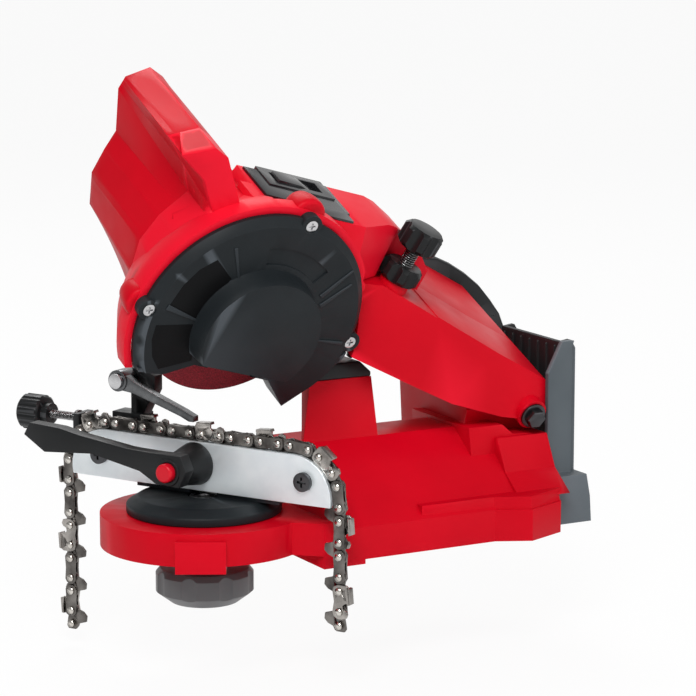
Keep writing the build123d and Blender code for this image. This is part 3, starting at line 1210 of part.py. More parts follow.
# hollow round the motor and hollow of the grip above it, at both ends
room_front = [
    (34.0, -10.0), (34.0, 20.0), (20.0, 47.0), (0.0, 59.0), (-24.0, 59.0), (-38.0, 48.0),
    (-50.0, 34.0), (-52.0, 17.0),
    (-45.0, -12.0), (-20.0, -29.0), (18.0, -29.0),
]
room_end = [
    (32.0, -10.0), (32.0, 18.0), (20.0, 33.0), (-2.0, 53.0), (-22.0, 58.0), (-40.0, 56.0),
    (-51.0, 40.0), (-50.0, 21.0),
    (-26.0, -15.0), (-18.0, -29.0), (13.0, -29.0),
]
grip_front = [
    (-19.0, 70.0), (-28.5, 95.0), (-33.0, 99.0), (-41.0, 98.0), (-41.0, 92.0), (-37.0, 84.0),
    (-30.0, 69.0),
]
grip_end = [
    (-20.0, 67.0), (-28.5, 95.0), (-33.0, 99.0), (-43.0, 95.0), (-46.0, 90.0), (-45.0, 79.0),
    (-43.0, 67.0),
]


# room taken by the front box, just outside its outline
box_room = [
    (0.0, 58.0), (45.0, 39.0), (59.0, 19.0), (72.9, 11.0), (86.0, 9.0), (121.0, -10.2),
    (138.0, 2.0), (150.0, 100.0),
    (4.0, 100.0),
]
with BuildPart() as motor_hollow:
    block_loft(room_front, HOLLOW_START, room_end, HOLLOW_END)
    block_loft(grip_front, HOLLOW_START, grip_end, HOLLOW_END)
    for x in MOTOR_RIBS:
        cut_behind([(x, -50.0), (x + 2.5, -50.0), (x + 2.5, 120.0), (x, 120.0)], 0.0, HOUSING_END + 10.0)
    rod(head_plane(-MOTOR_SEAT + 1.0), (0, 0), MOTOR_R + 2.0, MOTOR_SEAT - 1.0 - HOLLOW_END)

with BuildPart() as motor_housing:
    block_loft(block_at(MOTOR_SEAT), MOTOR_SEAT, block_end, HOUSING_END)
    add(motor_hollow.part, mode=Mode.SUBTRACT)
    cut_behind(box_room, 0.0, BOX_DEPTH + SEAT)
save(motor_housing.part, "motor_housing")

# ---------------------------------------------------------------- motor and spindle
with BuildPart() as motor_can:
    rod(head_plane(-MOTOR_FRONT), (0, 0), MOTOR_R, -MOTOR_L)
    bore(head_plane(-MOTOR_FRONT - 2.0), (0, 0), MOTOR_R - 2.0, -MOTOR_L)
    bore(head_plane(-MOTOR_FRONT), (0, 0), 9.0, -3.0)
save(motor_can.part, "motor_can")

with BuildPart() as motor_magnets:
    with BuildSketch(head_plane(-MOTOR_FRONT - 5.0)) as arcs:
        Circle(MOTOR_R - 2.0 - SEAT)
        Circle(MOTOR_R - 5.0, mode=Mode.SUBTRACT)
        Rectangle(8.0, 80.0, mode=Mode.SUBTRACT)
    extrude(arcs.sketch, amount=-36.0)
save(motor_magnets.part, "motor_magnets")

with BuildPart() as motor_end_cap:
    rod(head_plane(-MOTOR_BACK - SEAT), (0, 0), MOTOR_R, -8.0)
    bore(head_plane(-MOTOR_BACK), (0, 0), BEARING_R + SEAT, -7.0 - SEAT)
    bore(head_plane(-MOTOR_BACK), (0, 0), SHAFT_R + 1.5, -10.0)
save(motor_end_cap.part, "motor_end_cap")

with BuildPart() as spindle_bearings:
    for start in (FRONT_BEARING, REAR_BEARING):
        rod(head_plane(-start), (0, 0), BEARING_R, -BEARING_W)
        bore(head_plane(-start), (0, 0), SHAFT_R + RUN / 2, -BEARING_W)
save(spindle_bearings.part, "spindle_bearings")

FLANGE_R = 17.0           # wheel flanges, radius
with BuildPart() as spindle:
    rod(head_plane(12.0), (0, 0), SHAFT_R, -REAR_BEARING - BEARING_W - 12.0)
    rod(head_plane(-5.3), (0, 0), 8.0, -5.3)
save(spindle.part, "spindle")

with BuildPart() as wheel_flanges:
    for side in (1, -1):
        rod(head_plane(side * (WHEEL_T / 2 + SEAT)), (0, 0), FLANGE_R, side * 3.4)
    rod(head_plane(WHEEL_T / 2 + SEAT), (0, 0), WHEEL_BORE - SEAT, -WHEEL_T - 2 * SEAT)
    bore(head_plane(20.0), (0, 0), SHAFT_R + SEAT, -40.0)
save(wheel_flanges.part, "wheel_flanges")

with BuildPart() as grinding_wheel:
    with BuildSketch(Plane(origin=WHEEL_AT, x_dir=(1, 0, 0), z_dir=HEAD_V)) as half:
        Polygon(
            (WHEEL_BORE, -WHEEL_T / 2),
            (WHEEL_R - 1.0, -WHEEL_T / 2),
            (WHEEL_R, -WHEEL_T / 2 + 0.8),
            (WHEEL_R, WHEEL_T / 2 - 0.8),
            (WHEEL_R - 1.0, WHEEL_T / 2),
            (WHEEL_BORE, WHEEL_T / 2),
        )
    revolve(half.sketch, axis=Axis(WHEEL_AT, HEAD_N))
save(grinding_wheel.part, "grinding_wheel")

with BuildPart() as wheel_nut:
    with BuildSketch(head_plane(WHEEL_T / 2 + 2 * SEAT + 3.4)) as hexagon:
        RegularPolygon(9.0, 6)
        Circle(SHAFT_R + SEAT, mode=Mode.SUBTRACT)
    extrude(hexagon.sketch, amount=5.0)
save(wheel_nut.part, "wheel_nut")

with BuildPart() as rotor:
    rod(head_plane(-MOTOR_FRONT - 8.0), (0, 0), MOTOR_R - 6.0, -32.0)
    rod(head_plane(-MOTOR_FRONT - 40.0), (0, 0), 9.0, -7.0)
    bore(head_plane(0), (0, 0), SHAFT_R + SEAT, -MOTOR_BACK)
    with BuildSketch(head_plane(-MOTOR_FRONT - 8.0)) as slots:
        with PolarLocations(MOTOR_R - 8.0, 12):
            Rectangle(6.0, 1.6)
    extrude(slots.sketch, amount=-32.0, mode=Mode.SUBTRACT)
save(rotor.part, "rotor")

# ---------------------------------------------------------------- arm
arm_outline = [
    (60.0, 20.0), (72.9, 12.2), (86.1, 9.8), (161.8, -31.9), (192.0, -47.5), (196.1, -52.1),
    (194.9, -58.8), (189.9, -64.2),
    (182.0, -68.0), (163.5, -65.0), (130.6, -55.3), (109.2, -45.7), (67.3, -26.3), (60.0, -22.0),
]
arm_core = [
    (77.0, 8.0), (85.0, 6.3), (160.3, -34.6), (186.0, -48.0), (186.0, -54.0), (160.0, -54.0),
    (131.0, -51.8), (110.5, -42.8),
    (77.0, -27.0),
]
fork_slot = [
    (138.0, -110.0), (138.0, -60.0), (170.0, -54.0), (PIVOT_X + 10.5, -54.0), (205.0, -60.0),
    (205.0, -110.0),
]
ARM_RIBS = (100.0, 126.0, 152.0)
SHELL_SCREWS = [(114.0, -22.0), (140.0, -40.0)]
SCREW_NEAR = -12.0        # ends of the arm screws, behind the wheel plane
SCREW_FAR = 70.0


def arm_shell(near, far, core_near, core_far):
    """One half of the arm between two upright planes, hollowed between two others."""
    with BuildPart() as cavity:
        behind(arm_core, -BEHIND / 2, BEHIND)
        slab(core_near, core_far)
        for x in ARM_RIBS:
            rib = [(x, -120.0), (x + 2.5, -120.0), (x + 2.5, 60.0), (x, 60.0)]
            cut_behind(rib, -BEHIND / 2, BEHIND)
        for at in SHELL_SCREWS:
            bore(head_plane(BEHIND / 2), at, 5.5, -BEHIND * 1.5)
        bore(depth_plane(0), (0, 0), BOSS_R, BOSS_TOP + 20.0)
    with BuildPart() as shell:
        behind(arm_outline, -BEHIND / 2, BEHIND)
        slab(near, far)
        bore(head_plane(BEHIND / 2), (0, 0), RING_R + GAP, -BEHIND * 1.5)
        cut_behind(fork_slot, LUG_START - GAP, LUG_END + GAP)
        add(cavity.part, mode=Mode.SUBTRACT)
    return shell.part


NEAR_SEAT = -42.0         # outer faces of the pivot bosses, behind the wheel plane
FAR_SEAT = 67.0
with BuildPart() as arm_near_shell:
    add(arm_shell(ARM_NEAR, ARM_SPLIT, ARM_NEAR + SHELL, ARM_SPLIT + 1.0))
    rod(head_plane(-NEAR_SEAT), (PIVOT_X, PIVOT_V), LUG_R, NEAR_SEAT - LUG_START + GAP)
    bore(head_plane(BEHIND / 2), (PIVOT_X, PIVOT_V), LUG_R + GAP, -BEHIND / 2 - NEAR_SEAT)
    bore(head_plane(BEHIND / 2), (PIVOT_X, PIVOT_V), PIVOT_R + RUN, -BEHIND)
    cut_behind(box_room, -BEHIND / 2, BOX_DEPTH + SEAT)
    rod(depth_plane(BOSS_LOW), (0, 0), BOSS_R - 0.5, BOSS_TOP - BOSS_LOW)
    slab(ARM_NEAR - 20.0, ARM_SPLIT)
    bore(depth_plane(0), (0, 0), DEPTH_R + RUN, BOSS_TOP + 20.0)
    for at in SHELL_SCREWS:
        bore(head_plane(-SCREW_NEAR), at, 2.0 + SEAT, -80.0)
save(arm_near_shell.part, "arm_near_shell")

with BuildPart() as arm_far_shell:
    add(arm_shell(ARM_SPLIT + SEAT, ARM_FAR, ARM_SPLIT - 1.0, ARM_FAR - SHELL))
    rod(head_plane(-LUG_END - GAP), (PIVOT_X, PIVOT_V), LUG_R, LUG_END + GAP - FAR_SEAT)
    bore(head_plane(BEHIND / 2), (PIVOT_X, PIVOT_V), PIVOT_R + RUN, -BEHIND * 1.2)
    cut_behind(box_room, -BEHIND / 2, BOX_DEPTH + SEAT)
    bore(depth_plane(0), (0, 0), BOSS_R, BOSS_TOP + 30.0)
    for at in SHELL_SCREWS:
        bore(head_plane(-SCREW_NEAR), at, 2.0 + SEAT, -90.0)
        bore(head_plane(-SCREW_FAR), at, 4.0 + SEAT, -60.0)
save(arm_far_shell.part, "arm_far_shell")

with BuildPart() as arm_screws:
    for at in SHELL_SCREWS:
        rod(head_plane(-SCREW_NEAR), at, 2.0, SCREW_NEAR - SCREW_FAR - 1.0)
        rod(head_plane(-SCREW_FAR - SEAT), at, 4.0, -2.4)
        with BuildSketch(head_plane(-SCREW_FAR - 1.2)) as cross_slot:
            with Locations(at):
                Rectangle(4.6, 1.1)
                Rectangle(1.1, 4.6)
        extrude(cross_slot.sketch, amount=-3.0, mode=Mode.SUBTRACT)
save(arm_screws.part, "arm_screws")

# ---------------------------------------------------------------- hinge cover on the far cheek
HINGE_COVER_T = 4.0       # thickness of the hinge cover
hinge_cover_outline = [
    (150.0, -33.0), (162.0, -30.5), (175.0, -32.0), (184.5, -36.0), (195.0, -42.0),
    (204.5, -49.0), (212.0, -57.0),
    (218.5, -65.0), (222.0, -73.0), (216.0, -80.0), (200.0, -82.0), (180.0, -78.0), (160.0, -62.0),
]
with BuildPart() as hinge_cover:
    behind(hinge_cover_outline, -BEHIND / 2, BEHIND)
    slab(ARM_FAR + SEAT, ARM_FAR + SEAT + HINGE_COVER_T)
    bore(head_plane(0), (PIVOT_X, PIVOT_V), LUG_R + SEAT, -BEHIND)
save(hinge_cover.part, "hinge_cover")

# ---------------------------------------------------------------- arm pivot
WASHER_T = 1.6            # pivot washers
WASHER_R = 7.5
HEX_R = 5.8               # corner radius of the pivot bolt's head and nut
BOLT_HEAD = GAP + WASHER_T - NEAR_SEAT    # underside of the bolt's head, before the wheel plane
with BuildPart() as pivot_washers:
    for start in (NEAR_SEAT - GAP - WASHER_T, FAR_SEAT + GAP):
        rod(head_plane(-start), (PIVOT_X, PIVOT_V), WASHER_R, -WASHER_T)
        bore(head_plane(-start), (PIVOT_X, PIVOT_V), PIVOT_R + SEAT, -WASHER_T)
save(pivot_washers.part, "pivot_washers")

with BuildPart() as pivot_bolt:
    rod(head_plane(BOLT_HEAD + 1.0), (PIVOT_X, PIVOT_V), PIVOT_R, NEAR_SEAT - FAR_SEAT - 12.0)
    with BuildSketch(head_plane(BOLT_HEAD + SEAT)) as hexagon:
        with Locations((PIVOT_X, PIVOT_V)):
            RegularPolygon(HEX_R, 6)
    extrude(hexagon.sketch, amount=4.2)
    chamfer(faces().sort_by(Axis((0, 0, 0), HEAD_N))[-1].edges(), 0.6)
save(pivot_bolt.part, "pivot_bolt")

with BuildPart() as pivot_nut:
    with BuildSketch(head_plane(-FAR_SEAT - GAP - WASHER_T - SEAT)) as hexagon:
        with Locations((PIVOT_X, PIVOT_V)):
            RegularPolygon(HEX_R, 6)
            Circle(PIVOT_R + SEAT, mode=Mode.SUBTRACT)
    extrude(hexagon.sketch, amount=-5.0)
save(pivot_nut.part, "pivot_nut")

BUSH_L = 18.0             # length of each pivot bush
with BuildPart() as pivot_bushes:
    for start in (LUG_START, LUG_END - BUSH_L):
        rod(head_plane(-start), (PIVOT_X, PIVOT_V), PIVOT_R + 2.0, -BUSH_L)
        bore(head_plane(-start), (PIVOT_X, PIVOT_V), PIVOT_R + SEAT, -BUSH_L)
save(pivot_bushes.part, "pivot_bushes")

# ---------------------------------------------------------------- depth screw
TIP_SMALL = 1.8           # flat end of the depth screw's tip, radius
TIP_LOW = 1.8             # lower end of the tip, up from the screw's reference point
TIP_HIGH = 6.0
STEM_R = 1.5              # stem of the tip inside the screw
SCREW_LOW = TIP_HIGH + GAP
LOCK_LOW = BOSS_TOP + GAP
LOCK_H = 10.5
with BuildPart() as depth_tip:
    with BuildSketch(depth_plane(TIP_LOW)) as tip_end:
        Circle(TIP_SMALL)
    with BuildSketch(depth_plane(TIP_HIGH)) as tip_top:
        Circle(3.6)
    loft([tip_end.sketch, tip_top.sketch])
    rod(depth_plane(TIP_HIGH - 0.5), (0, 0), STEM_R, 9.0)
save(depth_tip.part, "depth_tip")

with BuildPart() as depth_screw:
    rod(depth_plane(SCREW_LOW), (0, 0), DEPTH_R, KNOB_LOW + KNOB_H - 3.0 - SCREW_LOW)
    bore(depth_plane(SCREW_LOW), (0, 0), STEM_R + RUN, 9.5)
save(depth_screw.part, "depth_screw")


def lobed_knob(start, height, bore_r, blind):
    """Six-lobed knob on the depth screw."""
    with BuildPart() as knob:
        rod(depth_plane(start), (0, 0), KNOB_R, height)
        chamfer(edges().filter_by(GeomType.CIRCLE), 2.2)
        with BuildSketch(depth_plane(start)) as hollows:
            with PolarLocations(KNOB_R + 1.8, 7):
                Circle(4.2)
        extrude(hollows.sketch, amount=height, mode=Mode.SUBTRACT)
        bore(depth_plane(start), (0, 0), bore_r, blind)
    return knob.part


save(lobed_knob(LOCK_LOW, LOCK_H, DEPTH_R + RUN, LOCK_H), "depth_lock_knob")
save(lobed_knob(KNOB_LOW, KNOB_H, DEPTH_R + SEAT, KNOB_H - 3.0 + SEAT), "depth_knob")
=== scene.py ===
import json
import math

import bmesh
import bpy
from mathutils import Matrix, Vector


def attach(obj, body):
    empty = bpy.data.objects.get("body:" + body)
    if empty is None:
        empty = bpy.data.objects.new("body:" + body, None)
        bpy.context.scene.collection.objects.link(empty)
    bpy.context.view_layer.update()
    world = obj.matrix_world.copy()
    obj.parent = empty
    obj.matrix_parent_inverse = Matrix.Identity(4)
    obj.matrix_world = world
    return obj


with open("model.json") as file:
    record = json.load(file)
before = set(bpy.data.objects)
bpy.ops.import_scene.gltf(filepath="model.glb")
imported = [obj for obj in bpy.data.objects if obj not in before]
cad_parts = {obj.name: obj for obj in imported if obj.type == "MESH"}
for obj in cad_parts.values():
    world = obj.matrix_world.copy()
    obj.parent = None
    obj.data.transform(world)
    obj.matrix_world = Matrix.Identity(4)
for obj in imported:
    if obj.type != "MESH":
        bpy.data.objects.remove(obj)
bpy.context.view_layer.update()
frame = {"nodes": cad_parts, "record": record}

MM = 0.001
FULL_TURN = 2 * math.pi
PICTURE = 696             # width and height of the picture, in pixels
FOCAL_PX = 2900.0         # focal length of the picture, in pixels
SENSOR = 36.0             # camera sensor, in mm
NEAR_CLIP = 0.05          # camera's nearest distance, in metres
FAR_CLIP = 30.0           # camera's farthest distance, in metres
AIM = Vector((-29.9, 0.0, 105.0)) * MM                # point that the camera looks at
DISTANCE = 1.62           # camera from the point it looks at, in metres
AZIMUTH = math.radians(-28.8)
ELEVATION = math.radians(10.2)
TABLE_X = -0.120          # turntable axis in the row frame
WHEEL = Vector((TABLE_X + 0.0083, -0.022, 0.139))     # centre of the grinding wheel
TILT = math.radians(24.0)                             # lean of the wheel plane
HEAD_N = Vector((0, -math.cos(TILT), -math.sin(TILT)))         # from the wheel to its cover
HEAD_V = Vector((0, -math.sin(TILT), math.cos(TILT)))          # up the wheel plane
DEPTH_RUN = Vector((28.9, 0, 0)) + HEAD_V * 76.5      # along the depth screw
VISE_TURN = math.radians(60.0)                        # swing of the vise from the base
VISE_D = Vector((math.cos(VISE_TURN), -math.sin(VISE_TURN), 0))     # along the vise
BENCH = -0.0675           # floor under the hanging chain


def head(x, v, behind):
    """Point of the head: x along the base, v up the wheel plane, and millimetres behind it."""
    return WHEEL + Vector((x * MM, 0, 0)) + HEAD_V * v * MM - HEAD_N * behind * MM


# ---------------------------------------------------------------- materials
PLASTIC_DRIFT = (18.0, 3.0)    # scale and detail of the noise in the colour of plastic
PLASTIC_RUB = (60.0, 5.0)      # the same for its gloss
METAL_DRIFT = (90.0, 6.0)      # the same for the tone of metal
METAL_RUB = (240.0, 6.0)       # the same for its gloss
PLASTIC_DETAIL = 2.0      # detail of moulded grain
METAL_DETAIL = 3.0        # detail of brushed or pitted grain
PLASTIC_BUMP = 0.35       # strength of moulded grain
METAL_BUMP = 0.3          # strength of brushed or pitted grain
DRIFT_SPAN = (0.3, 0.7)   # noise values between which a colour drifts
PLASTIC_SPAN = (0.35, 0.7)     # noise values between which the gloss of plastic varies
METAL_SPAN = (0.3, 0.75)       # the same for metal
EDGE_HIGHLIGHT_SPAN = (0.53, 0.60)  # pointiness over which the painted highlight along an edge sets in
MIX_FACTOR, MIX_FIRST, MIX_SECOND, MIX_RESULT = 0, 6, 7, 2    # colour sockets of a Mix node


def grey(level):
    """Grey colour of one level."""
    return (level, level, level)


def new_material(name):
    """Empty node material with its shader."""
    material = bpy.data.materials.new(name)
    material.use_nodes = True
    nodes = material.node_tree.nodes
    nodes.clear()
    output = nodes.new("ShaderNodeOutputMaterial")
    shader = nodes.new("ShaderNodeBsdfPrincipled")
    material.node_tree.links.new(shader.outputs["BSDF"], output.inputs["Surface"])
    return material, shader


def first_node(material, kind):
    """The first node of one type in a material."""
    return next(node for node in material.node_tree.nodes if node.type == kind)


def noise(material, scale, detail):
    """Noise over the object's own coordinates, as a 0 to 1 value."""
    nodes = material.node_tree.nodes
    coords = nodes.new("ShaderNodeTexCoord")
    texture = nodes.new("ShaderNodeTexNoise")
    texture.inputs["Scale"].default_value = scale
    texture.inputs["Detail"].default_value = detail
    material.node_tree.links.new(coords.outputs["Object"], texture.inputs["Vector"])
    return texture.outputs["Fac"]


def ramp(material, value, span, low, high):
    """Colour that goes from one to another while a value goes through a span."""
    node = material.node_tree.nodes.new("ShaderNodeValToRGB")
    for element, position, colour in zip(node.color_ramp.elements, span, (low, high)):
        element.position = position
        element.color = (*colour, 1.0)
    material.node_tree.links.new(value, node.inputs["Fac"])
    return node.outputs["Color"]


def vary(material, value, span, level, spread):
    """Grey level that varies by a spread to either side while a value goes through a span."""
    return ramp(material, value, span, grey(level - spread), grey(level + spread))


def mix(material, factor, first, second):
    """Mix of two colours, each a socket or a colour, by a factor socket."""
    node = material.node_tree.nodes.new("ShaderNodeMix")
    node.data_type = "RGBA"
    for value, place in ((factor, MIX_FACTOR), (first, MIX_FIRST), (second, MIX_SECOND)):
        if isinstance(value, tuple):
            node.inputs[place].default_value = (*value, 1.0)
        else:
            material.node_tree.links.new(value, node.inputs[place])
    return node.outputs[MIX_RESULT]


def operate(material, operation, *values):
    """Result of a Math node over one or two values, each a socket or a number."""
    node = material.node_tree.nodes.new("ShaderNodeMath")
    node.operation = operation
    for value, socket in zip(values, node.inputs):
        if isinstance(value, float):
            socket.default_value = value
        else:
            material.node_tree.links.new(value, socket)
    return node.outputs[0]


def add_bump(material, shader, value, strength, distance):
    """Bump from a value, added to the bump already there."""
    node = material.node_tree.nodes.new("ShaderNodeBump")
    node.inputs["Strength"].default_value = strength
    node.inputs["Distance"].default_value = distance
    links = material.node_tree.links
    old = shader.inputs["Normal"].links
    if old:
        links.new(old[0].from_socket, node.inputs["Normal"])
    links.new(value, node.inputs["Height"])
    links.new(node.outputs["Normal"], shader.inputs["Normal"])


def edge_highlight(material):
    """Value that rises on convex edges, where a painted highlight goes."""
    geometry = material.node_tree.nodes.new("ShaderNodeNewGeometry")
    return ramp(material, geometry.outputs["Pointiness"], EDGE_HIGHLIGHT_SPAN, grey(0.0), grey(1.0))


def plastic(name, colour, other, rough, spread, grain, depth, edge=None, specular=0.5):
    """Moulded plastic: colour that drifts a little, fine moulded grain and, where an edge colour
    is given, a painted highlight along convex edges.
    """
    material, shader = new_material(name)
    links = material.node_tree.links
    drift_and_highlight = ramp(material, noise(material, *PLASTIC_DRIFT), DRIFT_SPAN, colour, other)
    # An edge colour is a painted highlight along convex edges.
    if edge:
        drift_and_highlight = mix(material, edge_highlight(material), drift_and_highlight, edge)
    links.new(drift_and_highlight, shader.inputs["Base Color"])
    rub = vary(material, noise(material, *PLASTIC_RUB), PLASTIC_SPAN, rough, spread)
    links.new(rub, shader.inputs["Roughness"])
    add_bump(material, shader, noise(material, grain, PLASTIC_DETAIL), PLASTIC_BUMP, depth)
    shader.inputs["Specular IOR Level"].default_value = specular
    return material


def metal(name, colour, other, rough, spread=0.08, grain=900.0, depth=0.00004, metallic=1.0):
    """Bare or plated metal with drifting tone, brushed or pitted grain."""
    material, shader = new_material(name)
    links = material.node_tree.links
    tone = ramp(material, noise(material, *METAL_DRIFT), DRIFT_SPAN, colour, other)
    links.new(tone, shader.inputs["Base Color"])
    shader.inputs["Metallic"].default_value = metallic
    rub = vary(material, noise(material, *METAL_RUB), METAL_SPAN, rough, spread)
    links.new(rub, shader.inputs["Roughness"])
    add_bump(material, shader, noise(material, grain, METAL_DETAIL), METAL_BUMP, depth)
    return material


THREAD_CREST = (0.55, 0.55, 0.56)
# colour of the painted shade in a thread's grooves
THREAD_GROOVE_SHADE = grey(0.12)
THREAD_SPAN = (0.0, 0.7)  # ridge heights between which the painted groove shade brightens to the crest colour


def threaded(name, axis, pitch, depth):
    """Plated steel with a screw thread's ridges across an axis of the row frame, and painted
    shade that darkens its grooves.
    """
    material = metal(name, THREAD_CREST, (0.38, 0.38, 0.39), rough=0.28)
    shader = first_node(material, "BSDF_PRINCIPLED")
    nodes = material.node_tree.nodes
    links = material.node_tree.links
    coords = nodes.new("ShaderNodeTexCoord")
    along = nodes.new("ShaderNodeVectorMath")
    along.operation = "DOT_PRODUCT"
    along.inputs[1].default_value = axis
    links.new(coords.outputs["Object"], along.inputs[0])
    turns = operate(material, "MULTIPLY", along.outputs["Value"], FULL_TURN / pitch)
    ridge = operate(material, "SINE", turns)
    groove_shade = ramp(material, ridge, THREAD_SPAN, THREAD_GROOVE_SHADE, THREAD_CREST)
    links.new(groove_shade, shader.inputs["Base Color"])
    add_bump(material, shader, ridge, strength=1.0, distance=depth)
    return material


def shade_black_beyond(material, y):
    """Paint shade on a plastic: black where it lies farther across than y."""
    shader = first_node(material, "BSDF_PRINCIPLED")
    nodes = material.node_tree.nodes
    links = material.node_tree.links
    coords = nodes.new("ShaderNodeTexCoord")
    parts = nodes.new("ShaderNodeSeparateXYZ")
    links.new(coords.outputs["Object"], parts.inputs[0])
    painted_shade_mask = operate(material, "GREATER_THAN", parts.outputs["Y"], y)
    colour = shader.inputs["Base Color"].links[0].from_socket
    links.new(mix(material, painted_shade_mask, colour, BLACK_LIGHT), shader.inputs["Base Color"])


def abrasive():
    """Vitrified grinding wheel: dark red grit with bright specks and a rough surface."""
    material, shader = new_material("abrasive")
    body = noise(material, scale=1500.0, detail=8.0)
    grains = noise(material, scale=3600.0, detail=2.0)
    pits = noise(material, scale=2200.0, detail=6.0)
    grit = ramp(material, body, (0.35, 0.65), (0.10, 0.002, 0.006), (0.30, 0.008, 0.02))
    specks = ramp(material, grains, (0.62, 0.70), grey(0.0), grey(1.0))
    colour = mix(material, specks, grit, (0.5, 0.04, 0.06))
    material.node_tree.links.new(colour, shader.inputs["Base Color"])
    shader.inputs["Roughness"].default_value = 0.82
    add_bump(material, shader, pits, strength=0.8, distance=0.0003)
    return material


CHEEK_INNER = -0.0322     # inner face of the tower's near side wall; beyond it the tower is painted black as shade
BLACK = (0.006, 0.0065, 0.007)
BLACK_LIGHT = (0.011, 0.012, 0.013)
# The edge colours of these plastics are painted highlights along their convex edges.
red_plastic = plastic(
    "red_moulding", (0.55, 0.0010, 0.0105), (0.47, 0.0008, 0.0085), rough=0.40, spread=0.05,
    grain=1400.0, depth=0.00003, edge=(0.70, 0.006, 0.022), specular=0.08,
)
dark_plastic = plastic(
    "slate_moulding", (0.0075, 0.0100, 0.0118), (0.012, 0.0155, 0.018), rough=0.5, spread=0.08,
    grain=1900.0, depth=0.00012, edge=(0.06, 0.07, 0.08), specular=0.18,
)
black_plastic = plastic(
    "black_moulding", BLACK, BLACK_LIGHT, rough=0.4, spread=0.08,
    grain=1500.0, depth=0.00006, edge=(0.04, 0.042, 0.045), specular=0.22,
)
tower_plastic = plastic(
    "charcoal_moulding", (0.062, 0.076, 0.086), (0.085, 0.10, 0.112), rough=0.55, spread=0.08,
    grain=1700.0, depth=0.0001, edge=(0.16, 0.18, 0.20), specular=0.25,
)
# Painted shade: the tower turns black beyond the inner face of its near side wall.
shade_black_beyond(tower_plastic, CHEEK_INNER)
inlay_black = plastic(
    "inlay_black", (0.0035, 0.0035, 0.004), (0.006, 0.0065, 0.007), rough=0.5, spread=0.06,
    grain=1500.0, depth=0.00005, specular=0.08,
)
gloss_black = plastic(
    "gloss_black", (0.008, 0.008, 0.009), (0.012, 0.012, 0.014), rough=0.2, spread=0.04,
    grain=700.0, depth=0.00001,
)
red_button = plastic(
    "red_button", (0.62, 0.004, 0.018), (0.52, 0.003, 0.014), rough=0.32, spread=0.05,
    grain=1200.0, depth=0.00003, specular=0.25,
)
knob_plastic = plastic(
    "knob_moulding", (0.085, 0.085, 0.09), (0.12, 0.12, 0.125), rough=0.45, spread=0.08,
    grain=1500.0, depth=0.00008,
)

BY_SLOT = {
    "red_plastic": red_plastic,
    "dark_plastic": dark_plastic,
    "black_plastic": black_plastic,
    "gloss_black": gloss_black,
    "red_button": red_button,
    "steel": metal("bright_steel", (0.66, 0.66, 0.67), (0.5, 0.5, 0.51), rough=0.3),
    "black_steel": metal("black_steel", (0.10, 0.10, 0.105), (0.05, 0.05, 0.055), rough=0.38),
    "zinc_plate": metal(
        "zinc_plate", (0.86, 0.91, 0.93), (0.78, 0.84, 0.87), rough=0.5, spread=0.07,
        grain=700.0, depth=0.00001, metallic=0.65,
    ),
    "chain_steel": metal(
        "chain_steel", (0.24, 0.225, 0.21), (0.055, 0.05, 0.047), rough=0.34, spread=0.1,
    ),
    "cutter_steel": metal("cutter_steel", (0.50, 0.47, 0.44), (0.16, 0.15, 0.14), rough=0.26),
    "rivet_steel": metal("rivet_steel", (0.78, 0.75, 0.70), (0.5, 0.47, 0.43), rough=0.28),
    "abrasive": abrasive(),
    "rotor_steel": metal(
        "laminations", (0.3, 0.3, 0.31), (0.18, 0.18, 0.19), rough=0.4, spread=0.1,
        grain=2500.0, depth=0.0001,
    ),
    "magnet": metal("ferrite", (0.10, 0.10, 0.11), (0.06, 0.06, 0.065), rough=0.6),
    "brass": metal("brass", (0.72, 0.55, 0.25), (0.55, 0.4, 0.17), rough=0.3),
}
BY_NODE = {
    "battery_tower": tower_plastic,
    "swivel_knob": knob_plastic,
    "stop_pawl": metal("pawl_steel", (0.17, 0.175, 0.18), (0.07, 0.072, 0.076), rough=0.3),
    "depth_screw": threaded("depth_thread", DEPTH_RUN.normalized(), pitch=0.00125, depth=0.0004),
    "stop_rod": threaded("stop_thread", VISE_D, pitch=0.0010, depth=0.0003),
}

# ---------------------------------------------------------------- the CAD nodes
EDGE_BY_NODE = {          # width of the rounded edges, in mm
    "base_housing": 2.0,
    "head_housing": 1.6,
    "motor_housing": 3.0,
    "arm_near_shell": 1.8,
    "arm_far_shell": 1.8,
    "battery_tower": 1.2,
    "pillar_cap": 1.2,
    "turntable": 0.6,
    "vise_bracket": 0.8,
    "wheel_cover": 0.7,
    "clamp_lever": 1.6,
    "stop_carriage": 0.8,
    "stop_pawl": 0.7,
    "swivel_knob": 0.8,
    "depth_knob": 0.8,
    "depth_lock_knob": 0.8,
    "stop_knob": 0.5,
    "front_plate": 0.35,
    "back_plate": 0.35,
    "pivot_bolt": 0.4,
    "hinge_cover": 1.0,
    "switch_frame": 0.4,
    "switch_rocker": 0.6,
}
SMALL_EDGE = 0.2          # width of every other node's rounded edges, in mm
NO_EDGE = ("rotor", "motor_magnets", "chain_rivets", "grinding_wheel")
FLAT = ("front_plate", "back_plate")                  # large plane sheets, shaded flat
WELD_GAP = 0.00001        # points nearer than this are joined, in metres
EDGE_SEGMENTS = 3
NODE_ANGLE = 24           # least angle of an edge that is rounded on a CAD node, in degrees
PIECE_ANGLE = 30          # the same on a piece made here

slot_of = {entry["node"]: entry["material_slot"] for entry in frame["record"]["subparts"]}


def round_edges(piece, width, angle):
    """Bevel modifier of a width in mm on the edges sharper than an angle in degrees."""
    bevel = piece.modifiers.new("edges", "BEVEL")
    bevel.width = width * MM
    bevel.segments = EDGE_SEGMENTS
    bevel.limit_method = "ANGLE"
    bevel.angle_limit = math.radians(angle)
    return bevel


def shade_smooth(mesh, smooth=True):
    """Smooth or flat shading of every face."""
    for polygon in mesh.polygons:
        polygon.use_smooth = smooth


